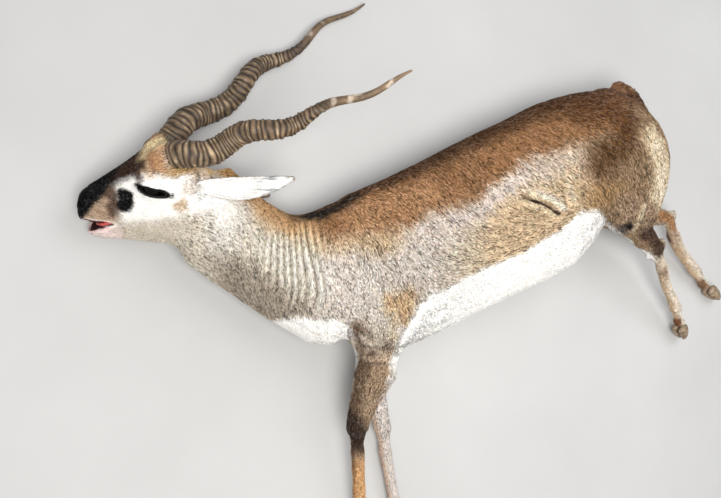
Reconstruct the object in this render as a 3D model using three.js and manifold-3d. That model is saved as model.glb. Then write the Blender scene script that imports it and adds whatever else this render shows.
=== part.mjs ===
// Blackbuck male lying on its right side, life size, in millimetres.
// The floor is z = 0. +X runs from the nose to the rump, +Y towards the back, +Z up to the left side.

import * as THREE from 'three';
import { mergeVertices } from 'three/addons/utils/BufferGeometryUtils.js';
import Module from 'manifold-3d';

const wasm = await Module();
wasm.setup();

// Driving sizes
const GAP = 0.3;
const EYE_RADIUS = 14.5;
const EYE_SLIT = { long: 20, tall: 5.5, tilt: THREE.MathUtils.degToRad(15) };
const LID = { forward: 23, side: 19.5, up: 19.5 };
const MOUTH = { corner: 62, line: -61, front: 102, opening: 18 };
const LIP_RADIUS = 3.4;
const HORN_SIZES = [20.5, 20.5, 19.5, 18, 16, 14.5, 12, 8, 6.4, 5.4, 4.6, 1.6];
const HORN_RINGS = 20;
const RINGED_LENGTH = 0.72;
const RING_HEIGHT = 1.5;
const EAR = { wide: 15.5, thick: 9, wall: 3 };
const HOOF_LENGTH = 44;
const DEWCLAW_RADIUS = 6;

// The head's own frame: forward to the nose, up to the forehead, and left, from a point between the eyes
const HEAD_ORIGIN = new THREE.Vector3(46, 162, 84);
const HEAD_ROLL = THREE.MathUtils.degToRad(35);
const HEAD_FORWARD = new THREE.Vector3(-0.985, -0.04, -0.13).normalize();

const COLOUR = {
  face: 0xe6dccf,
  neck: 0xc9b595,
  torso: 0xa8794a,
  tail: 0x5a3a22,
  haunch: 0x9c6c3c,
  shoulder: 0xa98a64,
  forearm: 0x96683a,
  shank: 0xdcc7a8,
  white: 0xf1eee8,
  horn: 0x745638,
  hoof: 0xa09180,
  eye: 0x120d0b,
  tongue: 0xb0534d,
};
const COAT_ROUGHNESS = 0.9;
const HORN_ROUGHNESS = 0.6;
const HOOF_ROUGHNESS = 0.5;
const EYE_ROUGHNESS = 0.15;

// Sections of the trunk and neck: where they cross the line of the back and of the belly, and two heights

const TRUNK = [
  { back: [322, 128], belly: [338, -60], low: 30, high: 140 },
  { back: [350, 150], belly: [385, -112], low: 8, high: 166 },
  { back: [402, 172], belly: [480, -96], low: 0, high: 182 },
  { back: [495, 218], belly: [590, -46], low: -2, high: 192 },
  { back: [590, 268], belly: [692, -4], low: -2, high: 196 },
  { back: [678, 312], belly: [778, 36], low: -2, high: 188 },
  { back: [758, 346], belly: [846, 116], low: 2, high: 180 },
  { back: [828, 362], belly: [905, 170], low: 6, high: 172 },
  { back: [895, 358], belly: [950, 225], low: 22, high: 158 },
  { back: [945, 330], belly: [965, 275], low: 50, high: 130 },
];

const NECK = [
  { back: [126, 192], belly: [70, 80], low: 22, high: 124 },
  { back: [166, 190], belly: [96, 40], low: 4, high: 124 },
  { back: [214, 148], belly: [124, 18], low: -1, high: 118 },
  { back: [262, 120], belly: [172, -14], low: -1, high: 124 },
  { back: [300, 122], belly: [232, -56], low: 2, high: 140 },
  { back: [352, 144], belly: [318, -100], low: 8, high: 160 },
  { back: [400, 120], belly: [400, -70], low: 30, high: 150 },
];

// Sections of the head in its own frame, from the nose to the poll
const HEAD = [
  { forward: 117, top: -24, bottom: -62, wide: 15 },
  { forward: 104, top: -14, bottom: -84, wide: 22 },
  { forward: 86, top: -2, bottom: -97, wide: 26 },
  { forward: 62, top: 14, bottom: -98, wide: 30 },
  { forward: 38, top: 30, bottom: -100, wide: 37 },
  { forward: 14, top: 46, bottom: -102, wide: 46 },
  { forward: -12, top: 54, bottom: -106, wide: 50 },
  { forward: -42, top: 50, bottom: -108, wide: 48 },
  { forward: -70, top: 34, bottom: -96, wide: 42 },
  { forward: -96, top: 14, bottom: -70, wide: 30 },
];

const TAIL = [
  { at: [858, 352, 104], deep: 13, wide: 12 },
  { at: [888, 372, 100], deep: 13, wide: 12 },
  { at: [926, 364, 92], deep: 11, wide: 11 },
  { at: [958, 334, 84], deep: 9, wide: 9 },
  { at: [980, 298, 78], deep: 5, wide: 5 },
];

// Stations down each leg, from inside the body to the toe: deep in the plane that the joints bend in, wide across it
const LEGS = {
  foreleg_left: {
    colours: [COLOUR.shoulder, COLOUR.forearm, COLOUR.shank],
    names: ['shoulder', 'forearm'],
    upper: [
      { at: [396, 90, 120], deep: 24, wide: 26 },
      { at: [390, 30, 124], deep: 46, wide: 43 },
      { at: [394, -40, 126], deep: 54, wide: 45 },
      { at: [406, -84, 125], deep: 48, wide: 38 },
      { at: [402, -124, 120], deep: 34, wide: 24 },
    ],
    lower: [
      { at: [408, -88, 122], deep: 42, wide: 30 },
      { at: [401, -136, 114], deep: 37, wide: 27 },
      { at: [389, -182, 96], deep: 27, wide: 21 },
      { at: [381, -218, 82], deep: 21, wide: 17 },
      { at: [380, -244, 73], deep: 19, wide: 18 },
    ],
    cannon: [
      { at: [383, -270, 66], deep: 13, wide: 14 },
      { at: [389, -325, 54], deep: 11, wide: 11 },
      { at: [395, -385, 41], deep: 12, wide: 12 },
      { at: [398, -412, 34], deep: 15, wide: 14 },
    ],
    pastern: [
      { at: [400, -432, 28], deep: 12, wide: 14 },
      { at: [402, -452, 23], deep: 13, wide: 15 },
    ],
    toe: [405, -496, 13],
    bumps: [],
  },
  hindleg_left: {
    colours: [COLOUR.haunch, COLOUR.haunch, COLOUR.shank],
    names: ['thigh', 'gaskin'],
    upper: [
      { at: [862, 342, 96], deep: 46, wide: 22 },
      { at: [878, 292, 107], deep: 84, wide: 42 },
      { at: [886, 240, 116], deep: 92, wide: 52 },
      { at: [890, 190, 120], deep: 79, wide: 53 },
      { at: [892, 142, 119], deep: 58, wide: 44 },
      { at: [886, 84, 114], deep: 42, wide: 30 },
    ],
    lower: [
      { at: [870, 136, 118], deep: 40, wide: 30 },
      { at: [915, 110, 112], deep: 33, wide: 25 },
      { at: [947, 83, 102], deep: 21, wide: 18 },
      { at: [972, 65, 94], deep: 17, wide: 15 },
    ],
    cannon: [
      { at: [992, 38, 85], deep: 12, wide: 12 },
      { at: [1014, 2, 70], deep: 10, wide: 10 },
      { at: [1043, -30, 55], deep: 11.5, wide: 11 },
      { at: [1061, -54, 44], deep: 14, wide: 13 },
    ],
    pastern: [
      { at: [1071, -66, 37], deep: 12, wide: 13 },
      { at: [1078, -79, 30], deep: 13, wide: 14 },
    ],
    toe: [1102, -108, 13],
    bumps: [{ at: [980, 80, 96], size: 11 }, { at: [960, 52, 89], size: 9 }],
  },
  foreleg_right: {
    colours: [COLOUR.shoulder, COLOUR.white, COLOUR.white],
    names: ['shoulder', 'forearm'],
    upper: [
      { at: [400, 80, 64], deep: 24, wide: 26 },
      { at: [398, 25, 58], deep: 44, wide: 42 },
      { at: [400, -36, 52], deep: 48, wide: 42 },
      { at: [408, -84, 46], deep: 40, wide: 34 },
      { at: [412, -122, 40], deep: 28, wide: 22 },
    ],
    lower: [
      { at: [410, -88, 43], deep: 36, wide: 28 },
      { at: [414, -134, 36], deep: 29, wide: 24 },
      { at: [426, -184, 29], deep: 19, wide: 18 },
      { at: [438, -228, 25], deep: 16, wide: 16 },
      { at: [444, -256, 22], deep: 17, wide: 17 },
    ],
    cannon: [
      { at: [448, -284, 20], deep: 12, wide: 13 },
      { at: [458, -335, 18], deep: 10, wide: 11 },
      { at: [469, -392, 17], deep: 11, wide: 12 },
      { at: [474, -420, 17], deep: 14, wide: 14 },
    ],
    pastern: [
      { at: [478, -440, 17], deep: 12, wide: 13 },
      { at: [482, -458, 17], deep: 13, wide: 14 },
    ],
    toe: [492, -502, 14],
    bumps: [],
  },
  hindleg_right: {
    colours: [COLOUR.haunch, COLOUR.haunch, COLOUR.shank],
    names: ['thigh', 'gaskin'],
    upper: [
      { at: [868, 338, 82], deep: 46, wide: 22 },
      { at: [884, 292, 68], deep: 84, wide: 44 },
      { at: [890, 238, 56], deep: 90, wide: 48 },
      { at: [896, 190, 50], deep: 80, wide: 44 },
      { at: [904, 150, 48], deep: 64, wide: 38 },
      { at: [908, 108, 48], deep: 36, wide: 26 },
    ],
    lower: [
      { at: [926, 140, 48], deep: 36, wide: 28 },
      { at: [971, 141, 52], deep: 24, wide: 20 },
      { at: [1010, 137, 53], deep: 18, wide: 16 },
      { at: [1040, 131, 51], deep: 17, wide: 15 },
    ],
    cannon: [
      { at: [1054, 106, 45], deep: 14, wide: 13 },
      { at: [1080, 72, 35], deep: 12.5, wide: 12 },
      { at: [1118, 38, 26], deep: 12.5, wide: 12 },
      { at: [1140, 18, 20], deep: 15, wide: 14 },
    ],
    pastern: [
      { at: [1150, 7, 18], deep: 12.5, wide: 13 },
      { at: [1163, -4, 17], deep: 13.5, wide: 14 },
    ],
    toe: [1195, -29, 14],
    bumps: [{ at: [1047, 141, 52], size: 10 }],
  },
};

const HOOF = [
  { along: 0, deep: 13, wide: 7, apart: 7.7 },
  { along: 0.35, deep: 13, wide: 7.3, apart: 8 },
  { along: 0.7, deep: 9.5, wide: 6, apart: 6.8 },
  { along: 1, deep: 3.5, wide: 2.6, apart: 3.6 },
];

// Closed surfaces to solids, and solids to named meshes

function signedVolume(places, corners) {
  const [p, q, r] = [new THREE.Vector3(), new THREE.Vector3(), new THREE.Vector3()];
  let sum = 0;
  for (let i = 0; i < corners.length; i += 3) {
    p.fromArray(places, corners[i] * 3);
    q.fromArray(places, corners[i + 1] * 3);
    r.fromArray(places, corners[i + 2] * 3);
    sum += p.dot(q.cross(r));
  }
  return sum / 6;
}

function toSolid(geometry) {
  const bare = geometry.clone();
  bare.deleteAttribute('normal');
  bare.deleteAttribute('uv');
  const merged = mergeVertices(bare, 1e-3);
  const places = merged.attributes.position.array;
  const all = merged.index.array;
  const corners = [];
  for (let i = 0; i < all.length; i += 3) {
    const [a, b, c] = [all[i], all[i + 1], all[i + 2]];
    if (a !== b && b !== c && c !== a) corners.push(a, b, c);
  }
  if (signedVolume(places, corners) < 0) corners.reverse();
  return new wasm.Manifold(new wasm.Mesh({
    numProp: 3,
    vertProperties: new Float32Array(places),
    triVerts: new Uint32Array(corners),
  }));
}

function toMesh(name, solid, colour, roughness = COAT_ROUGHNESS) {
  const bodies = solid.subtract(underFloor).decompose();
  bodies.sort((a, b) => b.volume() - a.volume());
  const surface = bodies[0].getMesh();
  const geometry = new THREE.BufferGeometry();
  geometry.setAttribute('position', new THREE.BufferAttribute(new Float32Array(surface.vertProperties), 3));
  geometry.setIndex(new THREE.BufferAttribute(new Uint32Array(surface.triVerts), 1));
  geometry.computeVertexNormals();
  const material = new THREE.MeshStandardMaterial({ color: colour, roughness, metalness: 0 });
  const mesh = new THREE.Mesh(geometry, material);
  mesh.name = name;
  return mesh;
}

// A loft moves a sphere's rings onto sections, each a centre with a half depth and a half width vector

function loft(sections, { rings, sides, square = 2, grow = 0, domes = [0.05, 0.05] }) {
  const centres = new THREE.CatmullRomCurve3(lengthened(sections.map((s) => s.centre), grow));
  const depths = new THREE.CatmullRomCurve3(sections.map((s) => s.depth));
  const widths = new THREE.CatmullRomCurve3(sections.map((s) => s.width));
  const geometry = new THREE.SphereGeometry(1, sides, rings);
  const { position, uv } = geometry.attributes;
  const power = 2 / square;
  for (let i = 0; i < position.count; i++) {
    const row = Math.round((1 - uv.getY(i)) * rings);
    const t = row / rings;
    const size = dome(t, domes);
    const angle = size === 0 ? 0 : 2 * Math.PI * (uv.getX(i) % 1);
    const depth = depths.getPoint(t);
    const width = widths.getPoint(t);
    depth.setLength(depth.length() + grow);
    width.setLength(width.length() + grow);
    const place = centres.getPoint(t);
    place.addScaledVector(depth, size * rounded(Math.sin(angle), power));
    place.addScaledVector(width, size * rounded(Math.cos(angle), power));
    position.setXYZ(i, place.x, place.y, place.z);
  }
  return geometry;
}

// The same places with the two ends moved outwards
function lengthened(places, reach) {
  const moved = places.map((place) => place.clone());
  const first = places[0].clone().sub(places[1]);
  const last = places.at(-1).clone().sub(places.at(-2));
  moved[0].add(first.setLength(reach));
  moved.at(-1).add(last.setLength(reach));
  return moved;
}

// How full a loft is at t: it closes in a dome over the first and the last part of its length
function dome(t, [start, end]) {
  const near = Math.min(1, t / start);
  const far = Math.min(1, (1 - t) / end);
  return Math.sqrt(near * (2 - near)) * Math.sqrt(far * (2 - far));
}

function rounded(value, power) {
  return Math.sign(value) * Math.abs(value) ** power;
}

function acrossBody({ back, belly, low, high }) {
  const middle = (low + high) / 2;
  const from = new THREE.Vector3(...belly, middle);
  const to = new THREE.Vector3(...back, middle);
  return {
    centre: from.clone().lerp(to, 0.5),
    depth: to.clone().sub(from).multiplyScalar(0.5),
    width: new THREE.Vector3(0, 0, (high - low) / 2),
  };
}

// Sections square to the line through the stations
function alongLine(stations) {
  const places = stations.map((station) => new THREE.Vector3(...station.at));
  return stations.map((station, i) => {
    const before = places[Math.max(0, i - 1)];
    const after = places[Math.min(places.length - 1, i + 1)];
    const line = after.clone().sub(before).normalize();
    const side = new THREE.Vector3(0, 0, 1).cross(line).normalize();
    const up = line.clone().cross(side).normalize();
    return {
      centre: places[i],
      depth: side.multiplyScalar(station.deep),
      width: up.multiplyScalar(station.wide),
    };
  });
}

function ball(centre, radii, turn = new THREE.Quaternion()) {
  const geometry = new THREE.SphereGeometry(1, 10, 7);
  geometry.scale(...radii);
  geometry.applyQuaternion(turn);
  geometry.translate(centre.x, centre.y, centre.z);
  return toSolid(geometry);
}

// A large block on one side of a plane, to cut with: everything past the plane along its normal
function beyond(point, normal, reach = 400) {
  const block = new THREE.BoxGeometry(2 * reach, 2 * reach, reach);
  block.translate(0, 0, reach / 2);
  block.applyQuaternion(new THREE.Quaternion().setFromUnitVectors(new THREE.Vector3(0, 0, 1), normal));
  block.translate(point.x, point.y, point.z);
  return toSolid(block);
}

// Splits a solid at a plane and leaves the gap that touching pieces keep
function split(solid, point, normal) {
  const past = point.clone().addScaledVector(normal, GAP);
  return [solid.subtract(beyond(point, normal)), solid.intersect(beyond(past, normal))];
}

const underFloor = beyond(new THREE.Vector3(500, 0, 0), new THREE.Vector3(0, 0, -1), 1500);

// Trunk, neck and tail

function trunkShape(grow = 0) {
  return toSolid(loft(TRUNK.map(acrossBody), { rings: 20, sides: 22, square: 2.3, grow, domes: [0.1, 0.1] }));
}

function neckShape(grow = 0) {
  return toSolid(loft(NECK.map(acrossBody), { rings: 14, sides: 20, square: 2.2, grow, domes: [0.1, 0.1] }));
}

function tailShape() {
  return toSolid(loft(alongLine(TAIL), { rings: 8, sides: 8, domes: [0.1, 0.15] }));
}

// Head

function headAxes() {
  const lift = new THREE.Vector3(0, Math.cos(HEAD_ROLL), Math.sin(HEAD_ROLL));
  const up = lift.addScaledVector(HEAD_FORWARD, -lift.dot(HEAD_FORWARD)).normalize();
  return { forward: HEAD_FORWARD, up, left: up.clone().cross(HEAD_FORWARD) };
}

const AXES = headAxes();

function onHead(forward, up, left) {
  return HEAD_ORIGIN.clone()
    .addScaledVector(AXES.forward, forward)
    .addScaledVector(AXES.up, up)
    .addScaledVector(AXES.left, left);
}

const HEAD_TURN = new THREE.Quaternion().setFromRotationMatrix(
  new THREE.Matrix4().makeBasis(AXES.forward, AXES.up, AXES.left.clone().negate()),
);

const HEAD_SQUARE = 2.4;

function headShape(grow = 0) {
  const sections = HEAD.map(({ forward, top, bottom, wide }) => ({
    centre: onHead(forward, (top + bottom) / 2, 0),
    depth: AXES.up.clone().multiplyScalar((top - bottom) / 2),
    width: AXES.left.clone().multiplyScalar(wide),
  }));
  return toSolid(loft(sections, { rings: 20, sides: 22, square: HEAD_SQUARE, grow, domes: [0.1, 0.1] }));
}

// How far out the side of the head is at a place on it
function cheek(forward, up) {
  const ahead = HEAD.findLastIndex((section) => section.forward >= forward);
  const [a, b] = [HEAD[ahead], HEAD[ahead + 1]];
  const t = (a.forward - forward) / (a.forward - b.forward);
  const top = THREE.MathUtils.lerp(a.top, b.top, t);
  const bottom = THREE.MathUtils.lerp(a.bottom, b.bottom, t);
  const wide = THREE.MathUtils.lerp(a.wide, b.wide, t);
  const height = Math.abs((2 * up - top - bottom) / (top - bottom));
  return wide * (1 - height ** HEAD_SQUARE) ** (1 / HEAD_SQUARE);
}

// The open mouth: a wedge from the corner of the lips to the front, with the chin set back behind the nose
function mouthWedge() {
  const { corner, line, front, opening } = MOUTH;
  const outline = new THREE.Shape([
    new THREE.Vector2(corner, line),
    new THREE.Vector2(front, line - opening),
    new THREE.Vector2(front + 2, line - 60),
    new THREE.Vector2(front + 40, line - 60),
    new THREE.Vector2(front + 40, line + 4),
    new THREE.Vector2(front, line + 3),
  ]);
  const wedge = new THREE.ExtrudeGeometry(outline, { depth: 120, bevelEnabled: false });
  wedge.translate(0, 0, -60);
  wedge.applyQuaternion(HEAD_TURN);
  wedge.translate(HEAD_ORIGIN.x, HEAD_ORIGIN.y, HEAD_ORIGIN.z);
  return toSolid(wedge);
}

// How high the mouth is open at a place along it
function mouthHeight(forward) {
  return (MOUTH.opening * (forward - MOUTH.corner)) / (MOUTH.front - MOUTH.corner);
}

// A lip's roll along the side of the muzzle, above or below the opening
function lip(side, startUp, endUp) {
  const steps = 5;
  const stations = [];
  for (let i = 0; i <= steps; i++) {
    const forward = THREE.MathUtils.lerp(MOUTH.corner - 4, MOUTH.front - 1, i / steps);
    const up = THREE.MathUtils.lerp(startUp, endUp, i / steps);
    const place = onHead(forward, up, side * (cheek(forward, up) - 1));
    stations.push({ at: place.toArray(), deep: LIP_RADIUS, wide: LIP_RADIUS });
  }
  return toSolid(loft(alongLine(stations), { rings: 7, sides: 6, domes: [0.15, 0.15] }));
}

function eyeCentre(side) {
  return onHead(-3, 6, side * 35);
}

function headSolid() {
  let solid = headShape();
  const socket = EYE_RADIUS + GAP;
  const tilted = HEAD_TURN.clone().multiply(
    new THREE.Quaternion().setFromAxisAngle(new THREE.Vector3(0, 0, 1), EYE_SLIT.tilt),
  );
  for (const side of [1, -1]) {
    const lids = ball(eyeCentre(side), [LID.forward, LID.up, LID.side], tilted);
    const slit = ball(onHead(-3, 5, side * 52), [EYE_SLIT.long, EYE_SLIT.tall, 14], tilted);
    const nostril = ball(onHead(109, -30, side * 14), [6, 4.5, 6], HEAD_TURN);
    const gland = ball(onHead(37, -14, side * (cheek(37, -14) + 2)), [8, 13, 5], HEAD_TURN);
    solid = solid.add(lids)
      .add(lip(side, MOUTH.line + 2, MOUTH.line + 6))
      .add(lip(side, MOUTH.line - 3, MOUTH.line - MOUTH.opening - 3))
      .subtract(slit)
      .subtract(ball(eyeCentre(side), [socket, socket, socket]))
      .subtract(nostril)
      .subtract(gland);
  }
  return solid.subtract(mouthWedge());
}

// The tongue lies on the floor of the mouth
function tongueSolid() {
  const stations = [
    { forward: 66, thick: 0.6, wide: 20 },
    { forward: 74, thick: 2.2, wide: 21 },
    { forward: 83, thick: 3, wide: 19 },
    { forward: 92, thick: 2.6, wide: 13 },
  ];
  const sections = stations.map(({ forward, thick, wide }) => ({
    centre: onHead(forward, MOUTH.line - mouthHeight(forward) + thick + GAP, 0),
    depth: AXES.up.clone().multiplyScalar(thick),
    width: AXES.left.clone().multiplyScalar(wide),
  }));
  return toSolid(loft(sections, { rings: 7, sides: 10, domes: [0.15, 0.2] }));
}

// Horns: a line from root to tip with a helix round it, ringed up to the smooth end

const HORNS = {
  left: {
    root: new THREE.Vector3(58, 187, 125),
    tip: new THREE.Vector3(406, 313, 262),
    bow: new THREE.Vector3(0, -9, -3),
    turns: 3.06,
    start: 6.06,
    swing: 8.5,
  },
  right: {
    root: new THREE.Vector3(53, 208, 89),
    tip: new THREE.Vector3(410, 512, 12),
    bow: new THREE.Vector3(0, 12, -16),
    turns: -2.94,
    start: 2.39,
    swing: 11,
  },
};

function hornLine({ root, tip, bow, turns, start, swing }, t) {
  const line = tip.clone().sub(root);
  const along = line.clone().normalize();
  const side = new THREE.Vector3(0, 0, 1).cross(along).normalize();
  const up = along.clone().cross(side);
  const phase = start + 2 * Math.PI * turns * t;
  const reach = swing * (1 - 0.55 * t) * Math.sin((Math.PI / 2) * Math.min(1, t / 0.2));
  return root.clone()
    .addScaledVector(line, t)
    .addScaledVector(bow, Math.sin(Math.PI * t))
    .addScaledVector(side, reach * Math.cos(phase))
    .addScaledVector(up, reach * Math.sin(phase));
}

function hornStops() {
  const thickness = new THREE.CatmullRomCurve3(HORN_SIZES.map((size) => new THREE.Vector3(size, 0, 0)));
  const stops = [];
  for (let i = 0; i <= 2 * HORN_RINGS; i++) {
    const t = (RINGED_LENGTH * i) / (2 * HORN_RINGS);
    const ridge = i % 2 === 0 ? -RING_HEIGHT : RING_HEIGHT;
    stops.push({ t, size: thickness.getPoint(t).x + ridge * (1 - 0.5 * t) });
  }
  const smooth = 6;
  for (let i = 1; i <= smooth; i++) {
    const t = RINGED_LENGTH + ((1 - RINGED_LENGTH) * i) / smooth;
    stops.push({ t, size: thickness.getPoint(t).x });
  }
  return stops;
}

function hornShape(plan) {
  const stops = hornStops();
  const rows = stops.length + 1;
  const geometry = new THREE.SphereGeometry(1, 8, rows);
  const { position, uv } = geometry.attributes;
  for (let i = 0; i < position.count; i++) {
    const row = Math.round((1 - uv.getY(i)) * rows);
    const stop = stops[THREE.MathUtils.clamp(row - 1, 0, stops.length - 1)];
    const size = row === 0 || row === rows ? 0 : stop.size;
    const angle = size === 0 ? 0 : 2 * Math.PI * (uv.getX(i) % 1);
    const place = hornLine(plan, stop.t);
    const ahead = hornLine(plan, stop.t + 0.01).sub(hornLine(plan, stop.t - 0.01)).normalize();
    const side = new THREE.Vector3(0, 0, 1).cross(ahead).normalize();
    const up = ahead.clone().cross(side);
    place.addScaledVector(side, size * Math.cos(angle)).addScaledVector(up, size * Math.sin(angle));
    position.setXYZ(i, place.x, place.y, place.z);
  }
  return toSolid(geometry);
}

// Ears: a leaf with a hollow face

const EARS = {
  left: {
    root: new THREE.Vector3(116, 151, 122),
    tip: new THREE.Vector3(258, 170, 116),
    bow: new THREE.Vector3(-2, -9.5, 5),
    facing: new THREE.Vector3(-0.1, -0.25, 0.96).normalize(),
  },
  right: {
    root: new THREE.Vector3(106, 172, 60),
    tip: new THREE.Vector3(240, 154, 14),
    bow: new THREE.Vector3(0, 0, -8),
    facing: new THREE.Vector3(-0.3, 0.4, -0.87).normalize(),
  },
};

const EAR_OUTLINE = [0.45, 0.78, 1, 1, 0.86, 0.58, 0.16];

function earShape({ root, tip, bow, facing }, thick, wide) {
  const line = tip.clone().sub(root);
  const side = line.clone().normalize().cross(facing).normalize();
  const sections = EAR_OUTLINE.map((size, i) => {
    const t = i / (EAR_OUTLINE.length - 1);
    return {
      centre: root.clone().addScaledVector(line, t).addScaledVector(bow, Math.sin(Math.PI * t)),
      depth: facing.clone().multiplyScalar(thick * (1 - 0.5 * t)),
      width: side.clone().multiplyScalar(wide * size),
    };
  });
  return toSolid(loft(sections, { rings: 9, sides: 10, domes: [0.08, 0.08] }));
}

function earSolid(plan) {
  const lifted = {
    ...plan,
    root: plan.root.clone().addScaledVector(plan.facing, EAR.thick * 0.75),
    tip: plan.tip.clone().addScaledVector(plan.facing, EAR.thick * 0.6),
  };
  return earShape(plan, EAR.thick, EAR.wide).subtract(earShape(lifted, EAR.thick, EAR.wide - EAR.wall));
}

// Legs

function upperShape(leg, grow = 0) {
  return toSolid(loft(alongLine(leg.upper), { rings: 14, sides: 16, square: 2.2, grow, domes: [0.1, 0.16] }));
}

function lowerShape(leg, grow = 0) {
  const stations = [...leg.lower, ...leg.cannon, ...leg.pastern];
  return toSolid(loft(alongLine(stations), { rings: 20, sides: 10, grow, domes: [0.06, 0.02] }));
}

// The plane square to the leg between the last station of one length and the first of the next
function jointPlane(above, below) {
  const from = new THREE.Vector3(...above.at(-1).at);
  const to = new THREE.Vector3(...below[0].at);
  return [from.clone().lerp(to, 0.35), to.clone().sub(from).normalize()];
}

function dewclaws(leg) {
  const [, line] = jointPlane(leg.cannon, leg.pastern);
  const behind = line.clone().cross(new THREE.Vector3(0, 0, 1)).normalize();
  const fetlock = new THREE.Vector3(...leg.pastern[0].at);
  return [1, -1].map((side) => {
    const place = fetlock.clone().addScaledVector(behind, 13).add(new THREE.Vector3(0, 0, 6 * side));
    return ball(place, [DEWCLAW_RADIUS, DEWCLAW_RADIUS, DEWCLAW_RADIUS * 0.7]);
  });
}

function hoofSolid(leg, side) {
  const heel = new THREE.Vector3(...leg.pastern.at(-1).at);
  const tip = new THREE.Vector3(...leg.toe);
  const line = tip.clone().sub(heel).normalize();
  const apartAxis = new THREE.Vector3(0, 0, 1).addScaledVector(line, -line.z).normalize();
  const deepAxis = apartAxis.clone().cross(line);
  const sections = HOOF.map(({ along, deep, wide, apart }) => ({
    centre: tip.clone().addScaledVector(line, HOOF_LENGTH * (along - 1)).addScaledVector(apartAxis, side * apart),
    depth: deepAxis.clone().multiplyScalar(deep),
    width: apartAxis.clone().multiplyScalar(wide),
  }));
  return toSolid(loft(sections, { rings: 7, sides: 8, domes: [0.02, 0.12] }));
}

// A leg's lengths from the knee or stifle down; what sticks out of it at the joints is part of it
function legSolids(leg) {
  let limb = lowerShape(leg);
  for (const claw of dewclaws(leg)) limb = limb.add(claw);
  for (const { at, size } of leg.bumps) limb = limb.add(ball(new THREE.Vector3(...at), [size, size, size]));
  const [lower, below] = split(limb, ...jointPlane(leg.lower, leg.cannon));
  const [cannon, pastern] = split(below, ...jointPlane(leg.cannon, leg.pastern));
  return { lower, cannon, pastern };
}

// Assembly: each piece that grows from another is cut back to that one's surface, a gap clear

const animal = new THREE.Group();
const trunkCut = trunkShape(GAP);
const neckCut = neckShape(GAP);
const headCut = headShape(GAP);

const torso = trunkShape();
animal.add(toMesh('torso', torso, COLOUR.torso));
animal.add(toMesh('neck', neckShape().subtract(trunkCut).subtract(headCut), COLOUR.neck));
animal.add(toMesh('head', headSolid(), COLOUR.face));
animal.add(toMesh('tongue', tongueSolid(), COLOUR.tongue));

for (const [side, sign] of Object.entries({ left: 1, right: -1 })) {
  const eye = ball(eyeCentre(sign), [EYE_RADIUS, EYE_RADIUS, EYE_RADIUS]);
  animal.add(toMesh(`eye_${side}`, eye, COLOUR.eye, EYE_ROUGHNESS));
  animal.add(toMesh(`horn_${side}`, hornShape(HORNS[side]).subtract(headCut), COLOUR.horn, HORN_ROUGHNESS));
  animal.add(toMesh(`ear_${side}`, earSolid(EARS[side]).subtract(headCut).subtract(neckCut), COLOUR.white));
}

// The right legs are also cut back to the left ones, which lie over them
let haunches = trunkCut;
let leftLegs = trunkCut;
for (const [name, leg] of Object.entries(LEGS)) {
  const { lower, cannon, pastern } = legSolids(leg);
  const [upperColour, lowerColour, footColour] = leg.colours;
  const [upperName, lowerName] = leg.names;
  const upperCut = upperShape(leg, GAP);
  const lowerCut = lowerShape(leg, GAP);
  const body = name.endsWith('right') ? leftLegs : trunkCut;
  const upper = upperShape(leg).subtract(body).subtract(neckCut);
  animal.add(toMesh(`${name}_${upperName}`, upper, upperColour));
  animal.add(toMesh(`${name}_${lowerName}`, lower.subtract(upperCut).subtract(body), lowerColour));
  animal.add(toMesh(`${name}_cannon`, cannon, footColour));
  animal.add(toMesh(`${name}_pastern`, pastern, footColour));
  for (const [which, side] of [['inner', 1], ['outer', -1]]) {
    const hoof = hoofSolid(leg, side).subtract(lowerCut);
    animal.add(toMesh(`${name}_hoof_${which}`, hoof, COLOUR.hoof, HOOF_ROUGHNESS));
  }
  haunches = haunches.add(upperCut);
  if (name.endsWith('left')) leftLegs = leftLegs.add(upperCut).add(lowerCut);
}
animal.add(toMesh('tail', tailShape().subtract(haunches), COLOUR.tail));

const box = new THREE.Box3().setFromObject(animal);
const centre = box.getCenter(new THREE.Vector3());
animal.position.set(-centre.x, -centre.y, -box.min.z);

export default animal;
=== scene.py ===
"""A blackbuck lying on its right side, life size: skin, coat, horns, ears, eyes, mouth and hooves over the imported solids.

The marks and folds are placed in the design frame, in millimetres: +X runs from the nose to the rump, +Y towards
the back and +Z up to the left side. The row's own frame is in metres and starts at the middle of the animal.
"""

import logging
import math
from dataclasses import dataclass, field
from enum import Enum

import bmesh
import bpy
import numpy as np
from mathutils import Matrix, Vector
from mathutils.bvhtree import BVHTree
from mathutils.kdtree import KDTree


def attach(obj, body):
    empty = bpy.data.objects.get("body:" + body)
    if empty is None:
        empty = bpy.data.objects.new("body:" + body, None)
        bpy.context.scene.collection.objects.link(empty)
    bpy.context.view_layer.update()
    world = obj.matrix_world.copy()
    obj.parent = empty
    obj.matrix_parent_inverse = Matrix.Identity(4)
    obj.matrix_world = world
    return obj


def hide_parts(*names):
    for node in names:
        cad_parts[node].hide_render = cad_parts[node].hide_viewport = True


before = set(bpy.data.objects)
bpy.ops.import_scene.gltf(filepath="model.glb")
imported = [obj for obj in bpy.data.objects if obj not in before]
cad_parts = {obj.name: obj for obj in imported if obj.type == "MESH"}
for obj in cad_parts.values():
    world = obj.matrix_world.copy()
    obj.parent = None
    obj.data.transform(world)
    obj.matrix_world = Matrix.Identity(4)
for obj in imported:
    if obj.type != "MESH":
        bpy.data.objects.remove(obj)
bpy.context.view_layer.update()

log = logging.getLogger("blackbuck")

DESIGN_ORIGIN = np.array([564.9668, 3.8225, 0.0])
ATTRIBUTE = "coat_colour"
BAKE_MAP = "OFBake"
MIDDLE = 98.0


def to_row(points: np.ndarray) -> np.ndarray:
    """Design millimetres to metres in the row's frame."""
    return (np.asarray(points, float) - DESIGN_ORIGIN) / 1000.0


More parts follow.
